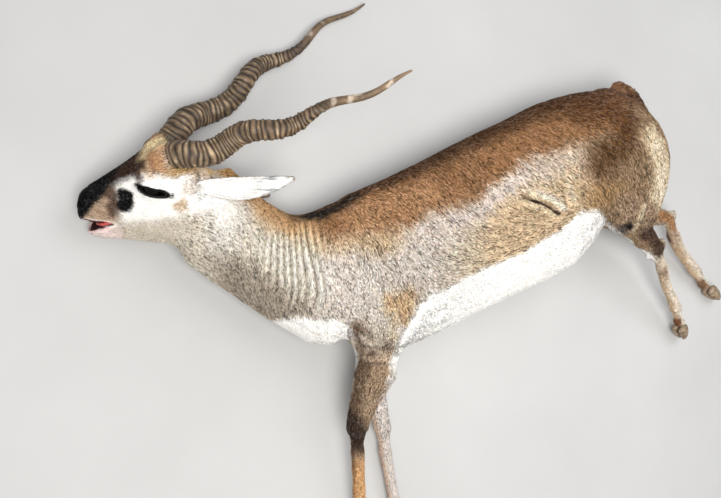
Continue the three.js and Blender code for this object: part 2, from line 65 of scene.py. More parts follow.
def to_design(points: np.ndarray) -> np.ndarray:
    """Metres in the row's frame to design millimetres."""
    return np.asarray(points, float) * 1000.0 + DESIGN_ORIGIN


def unit(vectors: np.ndarray) -> np.ndarray:
    """Vectors scaled to length one along the last axis."""
    vectors = np.asarray(vectors, float)
    return vectors / np.maximum(np.linalg.norm(vectors, axis=-1, keepdims=True), 1e-9)


def ease(low: float, high: float, value: np.ndarray) -> np.ndarray:
    """Smooth step from 0 at low to 1 at high, and the other way round where low is above high."""
    t = np.clip((value - low) / (high - low), 0.0, 1.0)
    return t * t * (3.0 - 2.0 * t)


def bell(value: np.ndarray, width: float) -> np.ndarray:
    """A soft bump of height one round zero."""
    return np.exp(-((value / width) ** 2))


def rgb(red: int, green: int, blue: int) -> np.ndarray:
    """A colour as the eye names it, 0 to 255, made linear."""
    c = np.array([red, green, blue]) / 255.0
    return np.where(c <= 0.04045, c / 12.92, ((c + 0.055) / 1.055) ** 2.4)


def blend(base: np.ndarray, over: np.ndarray, share: np.ndarray) -> np.ndarray:
    """Colours in rows, with another laid over them by a share from 0 to 1."""
    share = np.clip(share, 0.0, 1.0)[:, None]
    return base * (1.0 - share) + over * share


def grain(points: np.ndarray, size: float, seed: int) -> np.ndarray:
    """Smooth random field from -1 to 1 over the design frame.

    Args:
        points: Places in millimetres.
        size: Distance over which the field changes.
        seed: Picks one of many fields.

    Returns:
        One value for each point.
    """
    q = points / size + seed * 17.31
    cell = np.floor(q).astype(np.int64)
    part = q - cell
    part = part * part * (3.0 - 2.0 * part)
    total = np.zeros(len(q))
    for corner in range(8):
        step = np.array([corner & 1, corner >> 1 & 1, corner >> 2 & 1])
        at = cell + step
        mixed = (at[:, 0] * 374761393 + at[:, 1] * 668265263 + at[:, 2] * 2147483647 + seed * 144665) & 0x7FFFFFFF
        mixed = (mixed ^ (mixed >> 13)) * 1274126177 & 0x7FFFFFFF
        value = ((mixed ^ (mixed >> 16)) & 0xFFFF) / 32767.5 - 1.0
        total += value * np.prod(np.where(step, part, 1.0 - part), axis=1)
    return total


def along_path(points: np.ndarray, path: np.ndarray) -> tuple[np.ndarray, np.ndarray, np.ndarray]:
    """How points lie to a line of straight stretches, in as many axes as the path has.

    Args:
        points: Places, one a row.
        path: Corners of the line, one a row.

    Returns:
        The distance to the line, the share of its length at the nearest place, and the direction there.
    """
    path = np.asarray(path, float)
    places = points[:, : path.shape[1]]
    lengths = np.linalg.norm(np.diff(path, axis=0), axis=1)
    start = np.concatenate([[0.0], np.cumsum(lengths)])
    best = np.full(len(places), 1e9)
    share = np.zeros(len(places))
    heading = np.zeros_like(places)
    for i, length in enumerate(lengths):
        line = (path[i + 1] - path[i]) / length
        t = np.clip((places - path[i]) @ line, 0.0, length)
        gap = np.linalg.norm(places - path[i] - t[:, None] * line, axis=1)
        nearer = gap < best
        best = np.where(nearer, gap, best)
        share = np.where(nearer, (start[i] + t) / start[-1], share)
        heading[nearer] = line
    return best, share, heading


class Slot(Enum):
    """Slot names, passed with each piece."""

    BODY = "body_coat"
    NECK = "neck_coat"
    FACE = "face_coat"
    TAIL = "tail_coat"
    HAUNCH = "haunch_coat"
    SHOULDER = "shoulder_coat"
    FOREARM = "forearm_coat"
    SHANK = "shank_coat"
    WHITE = "white_coat"
    HORN = "horn"
    HOOF = "hoof"
    EYE = "eye"
    TONGUE = "tongue"


class Limb(Enum):
    """The four legs, by the start of their nodes' names."""

    FORE_LEFT = "foreleg_left"
    HIND_LEFT = "hindleg_left"
    FORE_RIGHT = "foreleg_right"
    HIND_RIGHT = "hindleg_right"


@dataclass(frozen=True)
class LegLine:
    """The bones of one leg, from its root in the body to its toe.

    Attributes:
        upper: Names of the two upper nodes.
        points: The line of the bones, in millimetres.
        knee: Share of the line at which the knee or hock lies.
        fetlock: Share of the line at which the fetlock lies.
        front: Direction in which the leg's front edge looks.
    """

    upper: tuple[str, str]
    points: tuple[tuple[float, float, float], ...]
    knee: float
    fetlock: float
    front: tuple[float, float, float]


LEGS = {
    Limb.FORE_LEFT: LegLine(
        ("shoulder", "forearm"),
        ((396, 90, 120), (392, -10, 125), (404, -100, 122), (389, -182, 96), (380, -244, 73), (389, -325, 54),
         (398, -412, 34), (402, -452, 23), (405, -496, 13)),
        0.58, 0.86, (-1.0, -0.1, 0.0),
    ),
    Limb.FORE_RIGHT: LegLine(
        ("shoulder", "forearm"),
        ((400, 80, 64), (400, -36, 52), (410, -100, 43), (426, -184, 29), (444, -256, 22), (458, -335, 18),
         (474, -420, 17), (482, -458, 17), (492, -502, 14)),
        0.58, 0.86, (-1.0, -0.2, 0.0),
    ),
    Limb.HIND_LEFT: LegLine(
        ("thigh", "gaskin"),
        ((862, 342, 96), (886, 240, 116), (880, 150, 119), (915, 110, 112), (972, 65, 94), (992, 38, 85),
         (1014, 2, 70), (1061, -54, 44), (1078, -79, 30), (1102, -108, 13)),
        0.66, 0.9, (-0.8, -0.6, 0.0),
    ),
    Limb.HIND_RIGHT: LegLine(
        ("thigh", "gaskin"),
        ((868, 338, 82), (890, 238, 56), (905, 160, 48), (971, 141, 52), (1040, 131, 51), (1054, 106, 45),
         (1118, 38, 26), (1140, 18, 20), (1163, -4, 17), (1195, -29, 14)),
        0.64, 0.89, (-0.7, -0.7, 0.0),
    ),
}
TAIL_LINE = ((850, 345, 104), (888, 372, 100), (926, 364, 92), (958, 334, 84), (980, 298, 78))


class HeadFrame:
    """The head's own axes: forward to the nose, up to the forehead and left, from a point between the eyes."""

    def __init__(self) -> None:
        """Sets the axes from the way the head lies."""
        roll = math.radians(35.0)
        self.origin = np.array([46.0, 162.0, 84.0])
        self.forward = unit(np.array([-0.985, -0.04, -0.13]))
        lift = np.array([0.0, math.cos(roll), math.sin(roll)])
        self.up = unit(lift - self.forward * (lift @ self.forward))
        self.left = np.cross(self.up, self.forward)

    def place(self, forward: float, up: float, left: float) -> np.ndarray:
        """A point of the head in the design frame."""
        return self.origin + self.forward * forward + self.up * up + self.left * left

    def read(self, points: np.ndarray) -> tuple[np.ndarray, np.ndarray, np.ndarray]:
        """Forward, up and left of points in the design frame."""
        away = points - self.origin
        return away @ self.forward, away @ self.up, away @ self.left


HEAD = HeadFrame()


@dataclass(frozen=True)
class Stroke:
    """One mark laid over the coat along a line.

    Attributes:
        path: Corners of the line: x and y of the body, forward and up of the head, or all three axes.
        reach: Distance from the line at which the mark has faded out.
        colour: The mark's colour, linear.
        strength: Its share over what lies under it, at the line.
        core: Share of the reach that keeps the full strength.
        ragged: How far noise moves the mark's edge, in millimetres.
    """

    path: tuple[tuple[float, ...], ...]
    reach: float
    colour: np.ndarray
    strength: float = 1.0
    core: float = 0.3
    ragged: float = 3.0

    def lay(self, colours: np.ndarray, places: np.ndarray, points: np.ndarray) -> np.ndarray:
        """Puts the mark on.

        Args:
            colours: Colours so far, one a row.
            places: Two coordinates of each point, in the path's own axes.
            points: The points in the design frame, for the noise.

        Returns:
            The new colours.
        """
        path = np.asarray(self.path, float)
        gap = along_path(points if path.shape[1] == 3 else places, path)[0] + grain(points, 7.0, 5) * self.ragged
        return blend(colours, self.colour, self.strength * ease(self.reach, self.reach * self.core, gap))


@dataclass
class Markings:
    """The markings of skin and coat alike, as functions of place.

    Attributes:
        belly: Upper edge of the white belly, x and y.
        saddle: Lower edge of the brown saddle.
        back: Line of the back.
    """

    belly: tuple[tuple[float, float], ...] = (
        (400, -420), (413, -118), (425, -94), (440, -54), (453, -30), (468, -7), (485, -5), (518, 9), (553, 26), (588, 39), (625, 52), (661, 73), (701, 92),
        (721, 109), (745, 128), (785, 134), (850, 108),
    )
    saddle: tuple[tuple[float, float], ...] = (
        (281, 85), (313, 75), (358, 85), (411, 91), (438, 101), (461, 116), (500, 124), (537, 138), (583, 172),
        (611, 190), (628, 205), (677, 222), (708, 236), (768, 250), (820, 256), (900, 262),
    )
    back: tuple[tuple[float, float], ...] = (
        (281, 108), (308, 120), (348, 143), (440, 184), (550, 244), (671, 306), (772, 340), (853, 356), (960, 330),
    )
    white: np.ndarray = field(default_factory=lambda: rgb(250, 248, 243))
    cream: np.ndarray = field(default_factory=lambda: rgb(233, 220, 198))
    saddle_brown: np.ndarray = field(default_factory=lambda: rgb(152, 112, 76))
    back_brown: np.ndarray = field(default_factory=lambda: rgb(84, 56, 34))
    flank_gold: np.ndarray = field(default_factory=lambda: rgb(208, 181, 148))
    # colour of the painted sheen on the flank
    painted_sheen: np.ndarray = field(default_factory=lambda: rgb(229, 217, 209))
    grizzle: np.ndarray = field(default_factory=lambda: rgb(219, 207, 194))
    neck_cream: np.ndarray = field(default_factory=lambda: rgb(218, 208, 190))
    neck_gold: np.ndarray = field(default_factory=lambda: rgb(186, 140, 84))
    haunch_gold: np.ndarray = field(default_factory=lambda: rgb(153, 127, 98))
    black: np.ndarray = field(default_factory=lambda: rgb(7, 6, 7))
    dark: np.ndarray = field(default_factory=lambda: rgb(52, 34, 24))

    def trunk(self, points: np.ndarray) -> np.ndarray:
        """Colours of the trunk, shoulders and thighs."""
        x, y = points[:, 0], points[:, 1]
        fibres = np.stack([(x * 0.62 - y * 0.78) / 5.0, x * 0.78 + y * 0.62, points[:, 2]], 1)
        ragged = grain(points, 22.0, 1) * 6.0 + grain(fibres, 5.0, 2) * 9.0
        belly = y - np.interp(x, *np.array(self.belly).T) + ragged * 0.16
        saddle = y - np.interp(x, *np.array(self.saddle).T) + ragged
        back = y - np.interp(x, *np.array(self.back).T) + ragged * 0.5
        colour = np.repeat(self.flank_gold[None], len(points), 0)
        colour = blend(colour, self.grizzle, ease(590, 450, x) * ease(40, 10, saddle + 60))
        # painted sheen: a pale band along the flank just below the saddle's lower edge
        colour = blend(colour, self.painted_sheen, 0.8 * bell(saddle + 20, 22) * ease(390, 450, x) * ease(830, 640, x))
        colour = blend(colour, self.saddle_brown, ease(-14, 16, saddle) * ease(905, 830, x))
        colour = blend(colour, self.haunch_gold, ease(-14, 16, saddle) * ease(830, 905, x))
        deep = np.interp(x, [380, 520, 700], [11, 30, 42])
        colour = blend(colour, self.back_brown, 0.9 * ease(0.0, 1.0, (back + deep) / (deep - 6)) * ease(960, 850, x))
        colour = blend(colour, self.haunch_gold, ease(735, 800, x + (y - 180) * 0.25) * ease(20, -14, saddle))
        places = points[:, :2]
        for mark in self.body_strokes():
            colour = mark.lay(colour, places, points)
        lower = ease(5, -5, belly) * ease(400, 415, x) * ease(880, 850, x)
        colour = blend(colour, self.white, lower)
        return self.brisket(colour, points)

    @staticmethod
    def withers() -> Stroke:
        """The dark fringe from the end of the nape to the shoulders."""
        line = ((288, 116, 90), (304, 116, 106), (326, 123, 112), (352, 139, 114))
        return Stroke(line, 21, rgb(28, 21, 16), 0.95, 0.3, 5)

    def brisket(self, colour: np.ndarray, points: np.ndarray) -> np.ndarray:
        """Lays the white of the breast over colours of the neck or the trunk."""
        x, y = points[:, 0], points[:, 1]
        edge = np.interp(x, [90, 160, 222, 240, 270, 314, 349, 368], [-70, -66, -60, -50, -48, -50, -63, -110])
        share = ease(4, -4, y - edge + grain(points, 14.0, 13) * 3.0) * ease(374, 356, x)
        return blend(colour, self.white, share)

    def body_strokes(self) -> list[Stroke]:
        """Marks of the trunk, the shoulder and the haunch."""
        return [
            self.withers(),
            Stroke(((952, 300, 90), (970, 235, 90), (958, 170, 88)), 46, rgb(236, 222, 198), 0.85, 0.2, 8),
            # painted shade: a dark line along the flank's crease
            Stroke(((649, 141), (668, 137), (683, 131), (699, 120)), 4.5, rgb(36, 24, 17), 0.9, 0.3, 1.5),
            Stroke(((846, 262), (816, 238), (786, 212)), 52, rgb(94, 63, 31), 0.92, 0.05, 14),
            Stroke(((652, 157), (672, 150), (692, 142), (706, 130)), 9, rgb(232, 212, 192), 0.8, 0.3, 3),
            Stroke(((722, 150), (716, 176), (734, 190)), 12, rgb(226, 204, 178), 0.6, 0.2, 5),
            Stroke(((636, 196), (668, 206), (704, 216)), 24, rgb(188, 166, 146), 0.55, 0.2, 8),
            Stroke(((756, 308), (815, 318), (850, 296)), 44, rgb(96, 62, 36), 0.85, 0.2, 9),
            Stroke(((352, 104), (392, 124), (440, 134), (470, 150)), 34, rgb(190, 148, 108), 0.6, 0.2, 10),
            Stroke(((915, 268), (932, 222), (926, 168)), 40, rgb(248, 226, 192), 0.9, 0.2, 8),
            Stroke(((842, 342), (872, 350), (906, 346)), 30, rgb(120, 84, 56), 0.8, 0.2, 6),
            Stroke(((770, 150), (800, 160), (840, 165)), 34, rgb(176, 140, 92), 0.6, 0.2, 8),
            Stroke(((850, 150), (880, 130), (905, 130)), 34, rgb(172, 148, 124), 0.65, 0.2, 6),
            Stroke(((408, -24), (430, -18), (420, -66)), 30, rgb(204, 160, 104), 0.7, 0.2, 7),
            Stroke(((333, -6), (310, 25), (345, 30)), 46, rgb(224, 214, 204), 0.6, 0.2, 8),
            Stroke(((352, -62), (366, -70)), 15, rgb(132, 92, 50), 0.85, 0.2, 4),
            Stroke(((364, -96), (362, -130)), 16, rgb(110, 84, 62), 0.45, 0.2, 4),
            Stroke(((476, -32), (470, -54)), 8, rgb(150, 150, 158), 0.6, 0.2, 2),
        ]

    def stifle_strokes(self) -> list[Stroke]:
        """Marks under the left thigh, in space: a white rim, painted shadow of the thigh on the gaskin, painted shade
        in the stifle's pocket and a pale line.
        """
        return [
            Stroke(((783, 133, 175), (796, 122, 167), (831, 113, 134), (858, 101, 114), (877, 90, 110), (904, 81, 104)),
                   10, self.white, 1.0, 0.55, 1.0),
            # painted shadow of the thigh on the gaskin below it
            Stroke(((918, 104, 124), (944, 94, 121), (968, 70, 112)), 23, rgb(76, 54, 40), 0.95, 0.5, 3),
            # painted shade: the dark pocket of the stifle
            Stroke(((849, 107, 127), (861, 104, 134), (869, 109, 145)), 12, rgb(20, 12, 8), 1.0, 0.45, 1.5),
            Stroke(((880, 94, 134), (882, 111, 150), (886, 129, 160), (888, 146, 165)), 7, rgb(232, 208, 176), 0.9,
                   0.35, 1.0),
        ]

    def neck(self, points: np.ndarray) -> np.ndarray:
        """Colours of the neck, from the white throat to the golden nape."""
        x, y = points[:, 0], points[:, 1]
        ragged = grain(points, 18.0, 3) * 7.0 + grain(points, 5.0, 4) * 4.0
        nape = np.interp(x, [120, 166, 214, 262, 300], [196, 186, 146, 119, 118])
        throat = np.interp(x, [70, 96, 124, 172, 232, 300], [60, 36, 12, -20, -62, -90])
        colour = np.repeat(self.neck_cream[None], len(points), 0)
        colour = blend(colour, self.white, ease(215, 110, x + (90 - y) * 0.7 + ragged))
        gold = ease(-80, -22, y - nape + ragged) * ease(150, 200, x)
        colour = blend(colour, self.neck_gold, 0.85 * gold)
        colour = blend(colour, rgb(214, 168, 110), ease(-34, -12, y - nape + ragged) * ease(108, 128, x) * ease(200, 180, x))
        colour = blend(colour, self.dark, 0.75 * ease(-20, -4, y - nape + ragged) * ease(225, 270, x))
        colour = blend(colour, self.cream, 0.6 * ease(20, 4, y - throat + ragged))
        for low in self.neck_strokes():
            colour = low.lay(colour, points[:, :2], points)
        colour = self.withers().lay(colour, points[:, :2], points)
        trunk = self.trunk(points)
        share = ease(268, 318, x - (y - 30) * 0.12 + ragged * 0.6)[:, None]
        return self.brisket(colour * (1.0 - share) + trunk * share, points)

    @staticmethod
    def neck_strokes() -> list[Stroke]:
        """The grey low side of the neck, and painted shade in the hollow behind its folds."""
        return [
            Stroke(((136, 26), (168, 14), (206, -6), (240, -34), (268, -46)), 52, rgb(146, 134, 120), 0.8, 0.15, 9),
            # painted shade in the hollow behind the neck's folds
            Stroke(((300, 62), (303, 30), (302, -4)), 11, rgb(120, 100, 82), 0.6, 0.2, 4),
        ]

    def head(self, points: np.ndarray) -> np.ndarray:
        """Colours of the head: white cheeks, a dark bridge, black nose and gland."""
        f, u, side = HEAD.read(points)
        side = np.abs(side)
        ragged = grain(points, 10.0, 6) * 3.0 + grain(points, 3.5, 7) * 1.6
        places = np.stack([f, u], 1)
        colour = np.repeat(self.white[None], len(points), 0)
        jaw = ease(-24, -50, u + (f + 30) * 0.2 + ragged) * ease(76, 50, f)
        colour = blend(colour, rgb(212, 200, 180), 0.9 * jaw)
        colour = blend(colour, rgb(188, 162, 138), ease(44, 62, f + ragged) * ease(8, -4, u) * ease(-64, -46, u + ragged))
        for mark in self.face_strokes():
            colour = mark.lay(colour, places, points)
        poll = ease(22, 36, u + ragged) * ease(-28, -44, f + ragged)
        colour = blend(colour, rgb(204, 166, 114), 0.85 * poll)
        for horn in HORNS:
            gap = np.linalg.norm(points - horn.line(np.array([0.02])), axis=1)
            colour = blend(colour, rgb(188, 146, 106), 0.9 * ease(34, 26, gap + ragged) * ease(-30, -14, f + ragged))
            colour = blend(colour, rgb(206, 166, 112), 0.9 * ease(36, 27, gap + ragged) * ease(-18, -30, f + ragged))
        ridge = np.interp(f, [-30, 10, 40, 70, 90, 104, 118], [49, 44, 28, 8, -5, -16, -30])
        bridge = ease(-20, -8, u - ridge + ragged) * ease(-2, 16, f) * ease(40, 28, side + ragged)
        colour = blend(colour, self.dark, bridge)
        nose = np.interp(f, [44, 52, 68, 84, 96, 104, 112, 118], [26, 12, -6, -22, -36, -47, -60, -66])
        colour = blend(colour, self.black, ease(-6, 5, u - nose + ragged) * ease(38, 64, f + ragged * 2))
        tuft = ease(-16, -4, u - ridge + 10 + ragged) * ease(26, 10, f) * ease(22, 12, side)
        colour = blend(colour, rgb(228, 204, 160), tuft)
        chin = ease(-62, -68, u) * ease(44, 60, f + ragged)
        return blend(colour, rgb(240, 218, 212), 0.85 * chin)

    def face_strokes(self) -> list[Stroke]:
        """Marks of the face, in the head's own forward and up."""
        return [
            Stroke(((14, 42), (4, 38), (-8, 42)), 18, rgb(224, 182, 138), 0.9, 0.35, 2),
            Stroke(((-2, 34), (0, 46), (-6, 54)), 8, rgb(112, 72, 46), 0.7, 0.3, 2),
            Stroke(((-44, 36), (-34, 34), (-20, 32)), 13, rgb(214, 178, 132), 0.7, 0.2, 3),
            Stroke(((64, -4), (58, -14), (56, -26), (60, -34)), 15, rgb(84, 62, 50), 0.9, 0.3, 4),
            Stroke(((26, 42), (23, 30), (18, 22)), 10, rgb(74, 50, 34), 0.9, 0.3, 2),
            Stroke(((42.5, -22), (39, -9)), 15.0, self.black, 1.0, 0.6, 3.5),
            Stroke(((-38, -21), (-43, -17)), 12, rgb(212, 172, 122), 0.7, 0.2, 3),
            Stroke(((-52, 5), (-58, 12)), 14, rgb(222, 192, 160), 0.4, 0.2, 3),
            Stroke(((-80, 20), (-60, 34), (-40, 42)), 16, rgb(212, 162, 96), 0.7, 0.2, 3),
        ]

    def leg(self, limb: Limb, points: np.ndarray) -> np.ndarray:
        """Colours of a leg below its root, by how far down it a point lies and on which edge."""
        line = LEGS[limb]
        path = np.array(line.points, float)
        gap, share, heading = along_path(points, path)
        middle = np.stack([np.interp(share, self.shares(path), path[:, i]) for i in range(3)], 1)
        front = np.array(line.front) - heading * (heading @ np.array(line.front))[:, None]
        edge = np.sum((points - middle) * unit(front), 1) / np.maximum(gap, 1.0)
        upper = np.sum((points - middle) * np.array([0, 0, 1.0]), 1) / np.maximum(gap, 1.0)
        ragged = grain(points, 9.0, 8) * 0.25 + grain(points, 3.5, 9) * 0.12
        down = share + ragged * 0.05
        knee, fetlock = line.knee, line.fetlock
        marks = self.leg_strokes()
        outer = ease(-0.5, 0.15, upper + ragged) if limb in (Limb.FORE_LEFT, Limb.HIND_LEFT) else np.zeros(len(points))
        if limb is Limb.FORE_LEFT:
            colour = blend(np.repeat(rgb(166, 142, 116)[None], len(points), 0), rgb(206, 192, 176), ease(0.36, 0.24, down))
            colour = blend(colour, rgb(208, 162, 114), ease(knee + 0.02, knee + 0.1, down))
            colour = blend(colour, self.cream, ease(fetlock - 0.12, fetlock + 0.03, down) * 0.85)
            colour = blend(colour, rgb(74, 48, 30), ease(0.45, 0.9, edge + ragged) * ease(fetlock, knee, down) * 0.7)
            colour = blend(colour, rgb(58, 38, 26), bell(down - knee, 0.045) * ease(-0.9, 0.1, edge + ragged) * 0.9)
            colour = blend(colour, self.white, ease(-0.3, -0.75, edge + ragged) * ease(0.5, 0.3, down))
            colour = blend(colour, self.cream, 1.0 - outer)
            for mark in marks:
                colour = mark.lay(colour, points[:, :2], points)
            return colour
        if limb is Limb.FORE_RIGHT:
            colour = np.repeat(rgb(214, 204, 196)[None], len(points), 0)
            colour = blend(colour, self.white, ease(0.45, 0.3, down))
            colour = blend(colour, rgb(196, 150, 112), ease(0.3, 0.9, edge + ragged) * ease(0.4, knee, down) * 0.5)
            return blend(colour, rgb(200, 160, 120), bell(down - fetlock, 0.03) * 0.5)
        colour = np.repeat(rgb(234, 220, 200)[None], len(points), 0)
        colour = blend(colour, self.haunch_gold, ease(knee - 0.02, knee - 0.16, down))
        colour = blend(colour, rgb(132, 92, 56), bell(down - knee, 0.04) * ease(-0.6, 0.3, edge + ragged) * 0.7)
        colour = blend(colour, rgb(190, 148, 104), ease(0.4, 0.9, edge + ragged) * ease(knee, knee + 0.06, down) * 0.6)
        colour = blend(colour, rgb(110, 72, 44), bell(down - fetlock, 0.025) * ease(-0.2, 0.5, edge + ragged) * 0.9)
        if limb is Limb.HIND_LEFT:
            colour = blend(colour, self.cream, (1.0 - outer) * ease(0.2, 0.35, down) * 0.7)
        for mark in marks:
            colour = mark.lay(colour, points[:, :2], points)
        return colour

    def leg_strokes(self) -> list[Stroke]:
        """Marks of the legs, in space."""
        return [
            Stroke(((364, -222, 88), (376, -246, 86), (392, -258, 82)), 30, rgb(54, 38, 30), 0.92, 0.4, 4),
            Stroke(((930, 64, 98), (950, 54, 98), (962, 45, 94)), 13, self.white, 1.0, 0.5, 1.5),
            Stroke(((1064, -70, 42), (1072, -78, 33)), 9, rgb(112, 68, 38), 0.9, 0.3, 1.5),
            Stroke(((1000, 141, 68), (1025, 134, 66), (1046, 120, 60)), 16, rgb(168, 118, 66), 0.85, 0.3, 2),
            Stroke(((1022, 112, 45), (1038, 104, 42), (1050, 92, 42)), 9, rgb(70, 46, 30), 0.7, 0.3, 2),
            Stroke(((1146, 8, 30), (1156, -2, 28)), 9, rgb(120, 84, 54), 0.6, 0.3, 1.5),
        ]

    @staticmethod
    def shares(path: np.ndarray) -> np.ndarray:
        """Share of a line's length at each of its corners."""
        steps = np.concatenate([[0.0], np.cumsum(np.linalg.norm(np.diff(path, axis=0), axis=1))])
        return steps / steps[-1]

    def tail(self, points: np.ndarray) -> np.ndarray:
        """Colours of the tail: tan at its root, dark brown to its tip, white below."""
        _, share, _ = along_path(points, np.array(TAIL_LINE, float))
        ragged = grain(points, 8.0, 10) * 0.08
        colour = np.repeat(rgb(132, 94, 62)[None], len(points), 0)
        return blend(colour, rgb(66, 44, 28), ease(0.3, 0.65, share + ragged))

    def paint(self, points: np.ndarray, part: np.ndarray, names: list[str]) -> np.ndarray:
        """Colours of any places on the skin.

        Args:
            points: Places in the design frame, one a row.
            part: For each, which of the names it belongs to.
            names: The nodes of flesh.

        Returns:
            Linear colours, one a row.
        """
        colour = np.zeros((len(points), 3))
        for i, name in enumerate(names):
            here = part == i
            if not here.any():
                continue
            p = points[here]
            if name == "head":
                f = HEAD.read(p)[0]
                share = ease(-62, -96, f)[:, None]
                colour[here] = self.head(p) * (1 - share) + self.neck(p) * share
            elif name == "neck":
                f = HEAD.read(p)[0]
                share = ease(-110, -62, f)[:, None]
                colour[here] = self.neck(p) * (1 - share) + self.head(p) * share
            elif name == "tail":
                colour[here] = self.tail(p)
            elif name == "torso":
                colour[here] = self.trunk(p)
            else:
                limb = next(leg for leg in Limb if name.startswith(leg.value))
                _, share, _ = along_path(p, np.array(LEGS[limb].points, float))
                start, end = (0.2, 0.3) if "fore" in name else (0.42, 0.52)
                mixed = ease(start, end, share + grain(p, 12.0, 11) * 0.04)[:, None]
                hide = self.trunk(p) * (1 - mixed) + self.leg(limb, p) * mixed
                for mark in self.stifle_strokes() if limb is Limb.HIND_LEFT else ():
                    hide = mark.lay(hide, p[:, :2], p)
                colour[here] = hide
        return colour


@dataclass(frozen=True)
class Fold:
    """A crease of the skin on the side that lies up, with a ridge beside it.

    Attributes:
        path: Corners of the crease: x and y of the body, or all three axes.
        width: How wide it is.
        depth: How deep it is.
        ridge: How far the skin beside it stands up; it also sets a painted highlight along that ridge.
        tint: Share of painted shade in its bottom.
    """

    path: tuple[tuple[float, ...], ...]
    width: float
    depth: float
    ridge: float = 0.0
    tint: float = 0.5

    def move(self, points: np.ndarray) -> np.ndarray:
        """How far the skin moves along its normal, in millimetres."""
        gap, share, _ = along_path(points, np.array(self.path, float))
        fade = ease(0.0, 0.12, share) * ease(1.0, 0.88, share) * ease(MIDDLE - 20, MIDDLE + 10, points[:, 2])
        return fade * (self.ridge * bell(gap - self.width * 2.0, self.width) - self.depth * bell(gap, self.width))

    def shade(self, points: np.ndarray) -> np.ndarray:
        """Share of painted shade in the crease, below zero where a painted highlight lies on the ridge beside it."""
        gap, share, _ = along_path(points, np.array(self.path, float))
        fade = ease(0.0, 0.12, share) * ease(1.0, 0.88, share) * ease(MIDDLE - 20, MIDDLE + 10, points[:, 2])
        return fade * (self.tint * bell(gap, self.width * 0.6) - 0.55 * self.ridge * bell(gap - self.width * 1.7, self.width * 0.7))


# Each fold's tint paints shade into its bottom, and its ridge gets a painted highlight.
FOLDS = (
    Fold(((282, 112), (279, 84), (281, 56), (288, 24), (293, -8), (288, -42)), 3.6, 5.0, 1.0, 0.9),
    Fold(((272, 108), (270, 72), (272, 36), (277, 0), (274, -40)), 2.8, 3.2, 0.8, 0.8),
    Fold(((263, 104), (261, 68), (262, 30), (265, -8), (260, -40)), 2.6, 2.6, 0.8, 0.75),
    Fold(((254, 101), (252, 64), (253, 26), (255, -10), (250, -38)), 2.6, 2.8, 0.9, 0.8),
    Fold(((245, 98), (243, 62), (243, 24), (244, -12)), 2.5, 2.2, 0.8, 0.7),
    Fold(((236, 94), (233, 60), (232, 22), (232, -14)), 2.5, 2.2, 0.8, 0.7),
    Fold(((227, 90), (223, 58), (221, 24), (220, -6)), 2.5, 1.8, 0.7, 0.6),
    Fold(((217, 88), (213, 58), (210, 28)), 2.5, 1.5, 0.6, 0.5),
    Fold(((207, 88), (203, 60), (200, 36)), 2.4, 1.2, 0.5, 0.4),
    Fold(((291, 108), (289, 78), (293, 44), (301, 12), (304, -22)), 3.2, 2.6, 0.8, 0.6),
    Fold(((301, 100), (300, 70), (306, 36), (313, 8)), 3.2, 1.6, 0.5, 0.3),
    Fold(((622, 150), (649, 141), (668, 137), (683, 131), (702, 118)), 5.6, 11.0, 1.8, 1.0),
    Fold(((650, 226), (661, 225), (672, 222)), 3.2, 3.0, 1.0, 0.9),
    Fold(((843, 110, 126), (858, 104, 133), (872, 108, 145)), 7.0, 8.0, 0.6, 1.0),
    Fold(((880, 94, 134), (882, 111, 150), (886, 129, 160), (889, 150, 166)), 4.0, -4.0, 0.0, 0.0),
    Fold(((868, 112, 150), (874, 128, 160), (878, 142, 164)), 4.0, 3.0, 0.0, 0.6),
    Fold(((790, 117, 160), (826, 105, 128), (856, 93, 106)), 3.0, 2.0, 0.0, 0.8),
    Fold(((700, 176), (712, 150), (722, 128)), 7.0, 3.0, 0.6, 0.15),
    Fold(((352, -60), (368, -74), (380, -84)), 5.0, 3.0, 0.6, 0.5),
    Fold(((428, -108), (446, -60), (462, -18)), 8.0, 4.0, 0.4, 0.1),
)


@dataclass
class Surface:
    """A surface that hair grows on: its triangles, their maps and the parts they belong to."""

    points: np.ndarray
    normals: np.ndarray
    corners: np.ndarray
    maps: np.ndarray
    part: np.ndarray


def read_surface(mesh: bpy.types.Mesh, part: np.ndarray) -> Surface:
    """Triangles, normals and bake map of a mesh, in the design frame."""
    mesh.calc_loop_triangles()
    points = np.empty(len(mesh.vertices) * 3, np.float32)
    mesh.vertices.foreach_get("co", points)
    normals = np.empty(len(mesh.vertices) * 3, np.float32)
    mesh.vertex_normals.foreach_get("vector", normals)
    corners = np.empty(len(mesh.loop_triangles) * 3, np.int32)
    mesh.loop_triangles.foreach_get("vertices", corners)
    loops = np.empty(len(mesh.loop_triangles) * 3, np.int32)
    mesh.loop_triangles.foreach_get("loops", loops)
    flat = np.empty(len(mesh.loops) * 2, np.float32)
    mesh.uv_layers[BAKE_MAP].uv.foreach_get("vector", flat)
    return Surface(
        to_design(points.reshape(-1, 3)),
        normals.reshape(-1, 3).astype(float),
        corners.reshape(-1, 3),
        flat.reshape(-1, 2)[loops].reshape(-1, 3, 2).astype(float),
        part,
    )


def set_colours(mesh: bpy.types.Mesh, colours: np.ndarray) -> None:
    """Writes one colour a vertex into the coat's attribute."""
    layer = mesh.color_attributes.new(ATTRIBUTE, "FLOAT_COLOR", "POINT")
    flat = np.ones((len(colours), 4), np.float32)
    flat[:, :3] = np.clip(colours, 0.0, 1.0)
    layer.data.foreach_set("color", flat.ravel())


def new_object(name: str, mesh: bpy.types.Mesh) -> bpy.types.Object:
    """An object at the origin for a mesh."""
    piece = bpy.data.objects.new(name, mesh)
    bpy.context.scene.collection.objects.link(piece)
    return piece


